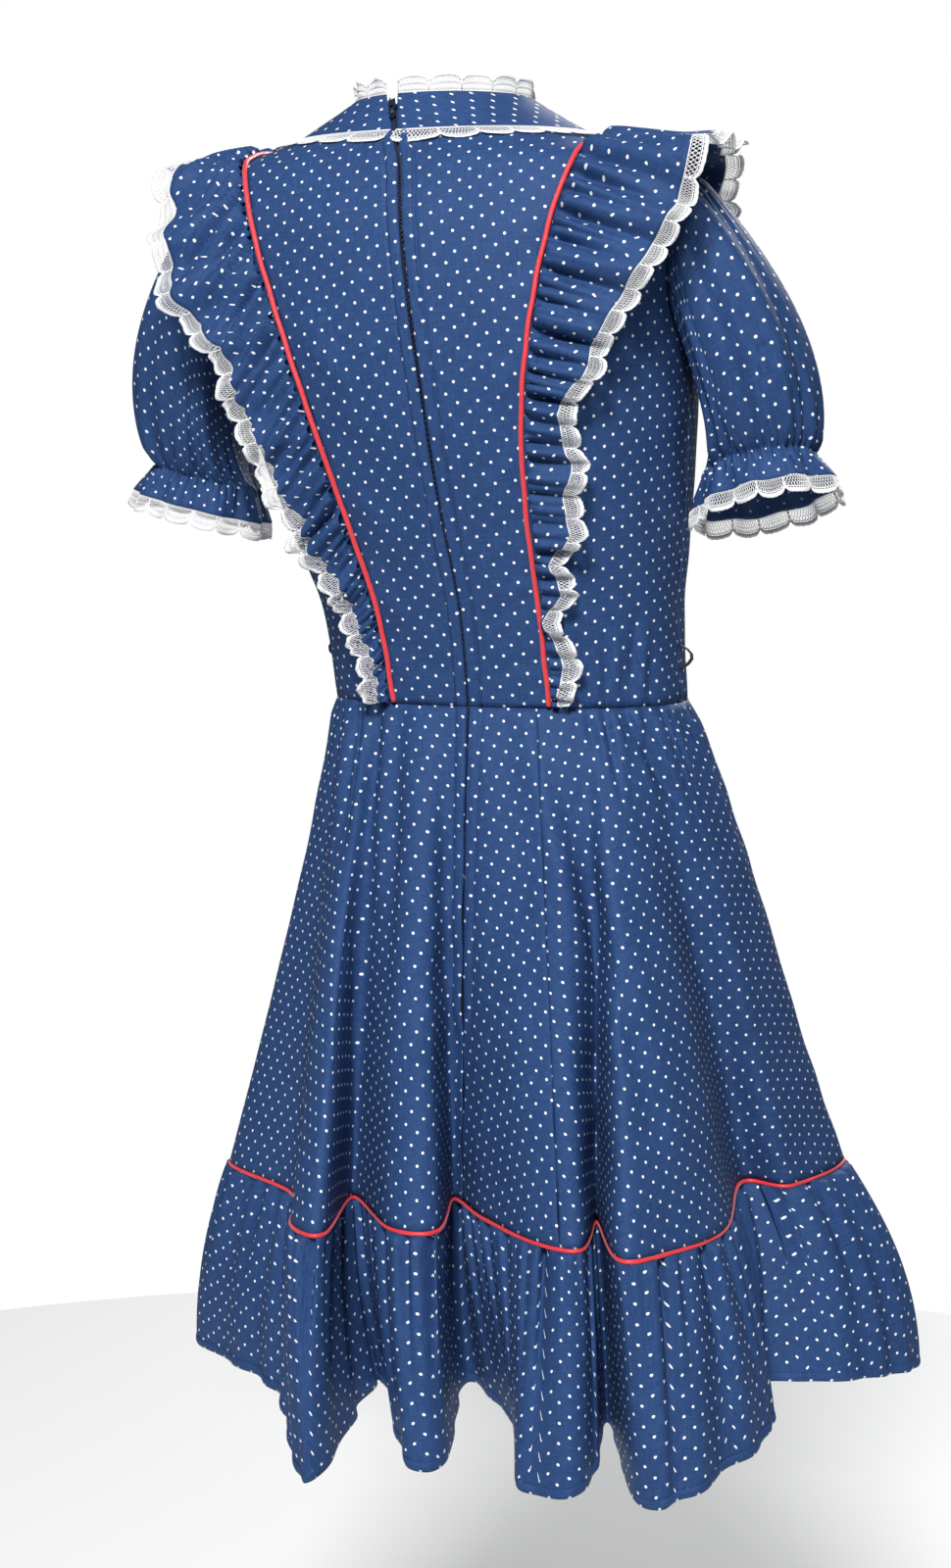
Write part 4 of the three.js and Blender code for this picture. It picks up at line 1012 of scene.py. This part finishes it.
def lace_strip(name, place, length, height, node, columns=12):
    """Scalloped lace: a heading, open net and arcs that follow each scallop.

    The function place gives the 3-D point for a share of the length and a height in mm.
    """
    scallops = max(int(round(length / SCALLOP_PITCH)), 1)
    pitch = length / scallops
    cusp = CUSP * height / LACE_HEIGHT
    x = np.linspace(-1, 1, columns + 1)
    rim = height - cusp * (1 - np.sqrt(np.maximum(1 - x * x, 0)) ** 0.8)
    rim = rim - 0.35 * (np.arange(columns + 1) % 2)
    inner = rim - NET_EDGE * height / LACE_HEIGHT
    at = (np.arange(scallops)[:, None] + (x[None, :-1] + 1) / 2).ravel() * pitch
    at = np.append(at, length)
    whole = lambda row: np.append(np.tile(row[:-1], scallops), row[-1])
    corners, faces = [], []

    def band(low, high):
        start = len(corners)
        corners.extend(pair for a, lo, hi in zip(at, whole(low), whole(high)) for pair in ((a, lo), (a, hi)))
        faces.extend((k, k + 2, k + 3, k + 1) for k in range(start, start + 2 * len(at) - 2, 2))

    def strand(p, q, width):
        d = q[0] - p[0], q[1] - p[1]
        k = width / 2 / math.hypot(*d)
        n = -d[1] * k, d[0] * k
        start = len(corners)
        corners.extend([(p[0] - n[0], p[1] - n[1]), (q[0] - n[0], q[1] - n[1]),
                        (q[0] + n[0], q[1] + n[1]), (p[0] + n[0], p[1] + n[1])])
        faces.append((start, start + 1, start + 2, start + 3))

    flat = np.zeros(columns + 1)
    band(flat, flat + HEADING)
    for low, high in LACE_ARCS:
        band(rim - low * height / LACE_HEIGHT, rim - high * height / LACE_HEIGHT)
    foot, lace_rim = whole(inner), whole(rim)
    for k in range(len(at) - 1):
        levels = [1.0 + (f - 1.0) * share for share in (0, 0.5, 1) for f in (foot[k], foot[k + 1])]
        for r in (0, 2):
            strand((at[k], levels[r]), (at[k + 1], levels[r + 3]), STRAND)
            strand((at[k], levels[r + 2]), (at[k + 1], levels[r + 1]), STRAND)
        if k % columns:
            strand((at[k], foot[k] - 0.3), (at[k], lace_rim[k] - 1.5), 0.5)
        else:
            strand((at[k], 0.8), (at[k], lace_rim[k] - 0.3), 0.8)
    flat_points = np.array(corners)
    points = place(np.clip(flat_points[:, 0] / length, 0, 1), flat_points[:, 1])
    faces = np.array(faces)
    obj = mesh_object(name, points, outward(points, faces), flat_points)
    thicken(obj, LACE)
    finish_piece(obj, "dress", WHITE_LACE, "white_lace", node)
    a, b, _, d = (flat_points[faces[:, k]] for k in range(4))
    long, wide = np.linalg.norm(b - a, axis=-1), np.linalg.norm(d - a, axis=-1)
    used = (long * wide + LACE * (long + wide)).sum()  # both faces and the sides of each strand, halved
    state_sheet((float(length) * MM, (height + LACE) * MM), used * MM * MM)
    return obj


def edge_length(place, count, height):
    """Length of the line on which a lace lies, at a height above its foot."""
    line = place(np.linspace(0, 1, count), np.full(count, height))
    return np.linalg.norm(np.diff(line, axis=0), axis=-1).sum()


for name in ("left", "right"):

    def on_ruffle(share, t, name=name):
        share = 0.003 + share * 0.994
        return ruffle_point(name, share, np.ones(share.shape), t - 0.6)

    lace_strip("ruffle_lace_" + name + "_net", on_ruffle, edge_length(on_ruffle, 900, 6.0) * 1.02,
               LACE_HEIGHT, "ruffle_lace_" + name)

    def on_cuff(share, t, name=name):
        return sleeve_point(name, 0.5 + share, np.ones(share.shape), CUFF_LENGTH - 0.8 + t)

    lace_strip("cuff_lace_" + name + "_net", on_cuff, edge_length(on_cuff, 600, 6.0), LACE_HEIGHT,
               "cuff_lace_" + name)


def on_neck(share, t):
    level = np.full(share.shape, float(NECK_LEVEL))
    angle = round_the_neck(share, level)
    base = torso(angle, level)
    out = np.stack([-np.sin(angle), np.cos(angle), np.zeros(share.shape)], -1)
    wave = uneven(share * 330, 26, 5) * (0.6 + 2.0 * t / 13) - 0.6 + 0.1 * t
    return base + out * wave[..., None] + np.array([0, 0, 1.0]) * (t - 0.2)[..., None]


def on_yoke(share, t):
    level = np.full(share.shape, YOKE_LEVEL + 0.02)
    angle = round_the_neck(share, level)
    edge = torso(angle, level)
    down = unit(torso(angle, level - 0.3) - edge)
    lift = 1.5 + 0.05 * t + 0.5 * uneven(share * 500, 24, 6) * t / 12
    return edge + down * (t + 0.3)[..., None] + torso_normal(angle, level - 0.3 * t / 12) * lift[..., None]


for node, place, height in (("neck_lace", on_neck, 12.5), ("yoke_lace", on_yoke, 13.5)):
    lace_strip(node + "_net", place, edge_length(place, 600, 5.0), height, node)


# ---------------------------------------------------------------- zip

zip_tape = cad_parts["zip_tape"]
zip_tape.data.materials.clear()
zip_tape.data.materials.append(TAPE)


BODICE_SHARE, ZIP_TOP = 0.66, 9.5  # the zip's part above the waist, and the row number of its top


def zip_line(share):
    """Middle of the zip and its outward normal, from its top to its lower end."""
    level = np.interp(share, [0, BODICE_SHARE], [ZIP_TOP, 0.02])
    angle = zip_angle(level, 0)
    top, top_n = torso(angle, level), torso_normal(angle, level)
    down = np.interp(share, [BODICE_SHARE, 1], [0.0, ZIP_DEPTH])
    low = skirt_point(np.full(share.shape, ZIP_FOLD), down)
    beside_it = skirt_point(np.full(share.shape, ZIP_FOLD + 0.05), down) - low
    below = skirt_point(np.full(share.shape, ZIP_FOLD), down + 0.02) - low
    low_n = unit(np.cross(beside_it, below))
    low_n = np.where(low_n[..., 1:2] > 0, low_n, -low_n)
    first = (share < BODICE_SHARE)[..., None]
    return np.where(first, top, low), np.where(first, top_n, low_n)


def rows_of(name, place, size, along, off, material, slot, body="dress"):
    """Many small blocks in one mesh, each at a place with its own directions. Sizes are half lengths in mm."""
    along, off = unit(along), unit(off)
    side = unit(np.cross(along, off))
    corners = np.array([(x, y, z) for x in (-1, 1) for y in (-1, 1) for z in (-1, 1)], float)
    shape = corners * np.array(size)
    shape[:, 0] *= np.where(corners[:, 2] > 0, 0.82, 1)
    points = (place[:, None] + along[:, None] * shape[None, :, 0:1] + side[:, None] * shape[None, :, 1:2]
              + off[:, None] * shape[None, :, 2:3])
    quads = np.array([(0, 1, 3, 2), (4, 6, 7, 5), (0, 4, 5, 1), (2, 3, 7, 6), (0, 2, 6, 4), (1, 5, 7, 3)])
    faces = (quads[None] + 8 * np.arange(len(place))[:, None, None]).reshape(-1, 4)
    obj = mesh_object(name, points, faces)
    edit_all(obj, face_out)
    obj = finish_piece(obj, body, material, slot)
    for p in obj.data.polygons:
        p.use_smooth = False
    return obj


count = 520
share = (np.arange(count) + 0.5) / count
middle, off = zip_line(share)
along = np.gradient(middle, axis=0)
across = unit(np.cross(unit(along), off))
sign = np.where(np.arange(count) % 2, 1.0, -1.0)[:, None]
rows_of("zip_coil", middle + across * sign * 0.55 - off * 0.9, (0.42, 0.95, 0.5), along, off, COIL, "zip_tape")


def stitches(name, line, off, pitch=2.8, size=(1.0, 0.19, 0.14)):
    """A row of stitches along a line of points, each a short flat thread."""
    length = run_along(line)
    at = np.arange(pitch / 2, length[-1], pitch)
    read = lambda rows: at_length(rows, length, at)
    return rows_of(name, read(line), size, read(np.gradient(line, axis=0)), read(off), THREAD, "navy_cloth")


SHARP = 40  # degrees from which an edge counts as sharp


def copy_of_node(node, material, body, width):
    """A CAD node's copy with its doubles merged and its edges rounded, standing for the node."""
    obj = bpy.data.objects.new(node + "_body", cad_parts[node].data.copy())
    bpy.context.scene.collection.objects.link(obj)
    edit_all(obj, merge_doubles, bpy.ops.mesh.tris_convert_to_quads)
    bevel = obj.modifiers.new("rounded", "BEVEL")
    bevel.width = width * MM
    bevel.segments = 2
    bevel.angle_limit = sharp = math.radians(SHARP)
    bpy.ops.object.modifier_apply(modifier="rounded")
    obj.data.materials.clear()
    obj.data.materials.append(material)
    bpy.ops.object.shade_smooth_by_angle(angle=sharp)
    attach(obj, body)
    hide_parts(node)
    return obj


copy_of_node("zip_slider", ENAMEL, "dress", 0.28)
copy_of_node("zip_pull", ENAMEL, "pull_tab", 0.16)

for name, side in SIDES.items():
    level = np.linspace(7.9, 0.05, 240)
    angle = angle_at(smooth(SEAMS, "zip", level) + side * (smooth(SEAMS, "opening", level) / 2 + STRIP), level)
    off = torso_normal(angle, level)
    stitches("zip_stitches_" + name, torso(angle, level) + off * 0.45, off)
    down = np.linspace(0.01, ZIP_DEPTH, 120)
    fold = beside(np.full(down.shape, ZIP_FOLD), down, side * (ZIP_EDGE + STRIP))
    line = skirt_point(fold, down)
    off = unit(np.cross(skirt_point(fold + 0.05, down) - line, skirt_point(fold, down + 0.01) - line))
    off = np.where(off[:, 1:2] > 0, off, -off)
    stitches("placket_stitches_" + name, line + off * 0.6, off)


# ---------------------------------------------------------------- belt loops

for name, side in SIDES.items():
    k = np.linspace(0, 5, 90)
    reach = np.interp(k, range(6), [1.0, 6, 8.5, 8.5, 6, 1.0])
    level = 0.62 - 0.26 * k / 5
    angle = np.full(k.shape, side * math.pi / 2)
    spine = torso(angle, level) + torso_normal(angle, level) * reach[:, None]
    for strand in range(3):
        a = k * 9 + strand * 2 * math.pi / 3
        swirl = np.stack([np.cos(a) * 0.5, np.sin(a) * 0.62, np.cos(a) * 0.3], -1)
        nodes = ["belt_loop_" + name] if strand == 0 else []
        tube("belt_loop_%s_strand_%d" % (name, strand + 1), spine + swirl, 0.62, 6, BLACK_THREAD, "black_thread",
             nodes, up=(0, 1, 0))


# ---------------------------------------------------------------- floor, light and camera

FLOOR_Z = -1.32  # as high as a floor below a worn dress
bpy.ops.mesh.primitive_circle_add(vertices=128, radius=1.7, fill_type="NGON", location=(0, 0, FLOOR_Z))
floor = bpy.context.object
floor.name = "floor"
floor_material, floor_tree, floor_shader = node_tree("pale floor")
feed(floor_tree, floor_shader, {"Base Color": (0.88, 0.88, 0.88, 1), "Roughness": 0.9})
floor.data.materials.append(floor_material)

# The studio behind the dress is white, and its own light on the dress is dim.
world = bpy.data.worlds.new("studio")
bpy.context.scene.world = world
world.use_nodes = True
sky = world.node_tree
dim = sky.nodes["Background"]
feed(sky, dim, {"Color": (0.94, 0.97, 1.0, 1), "Strength": 0.16})
white = add(sky, "ShaderNodeBackground", Color=(1, 1, 1, 1))
seen = add(sky, "ShaderNodeLightPath")
either = add(sky, "ShaderNodeMixShader")
feed(sky, either, {0: seen.outputs["Is Camera Ray"], 1: dim.outputs[0], 2: white.outputs[0]})
feed(sky, sky.nodes["World Output"], {"Surface": either.outputs[0]})
bpy.context.scene.view_settings.view_transform = "Standard"


def soft_light(name, place, target, power, size):
    light = bpy.data.lights.new(name, "AREA")
    light.energy, light.size = power, size
    obj = bpy.data.objects.new(name, light)
    bpy.context.scene.collection.objects.link(obj)
    obj.location = place
    direction = Vector(target) - Vector(place)
    obj.rotation_euler = direction.to_track_quat("-Z", "Y").to_euler()


soft_light("key", (-0.7, 3.1, 2.1), (-0.03, 0, -0.5), 225, 0.8)
soft_light("front", (-0.4, -3.2, 1.6), (-0.03, 0, -0.5), 90, 1.6)

camera = bpy.data.cameras.new("camera")
camera.lens, camera.sensor_width = 57.56, 36
camera.shift_y = -0.194
camera_object = bpy.data.objects.new("camera", camera)
bpy.context.scene.collection.objects.link(camera_object)
camera_object.location = (-0.5834, 1.5436, -0.246)
camera_object.rotation_euler = (math.pi / 2, 0, math.radians(200))
bpy.context.scene.camera = camera_object

bpy.context.view_layer.update()
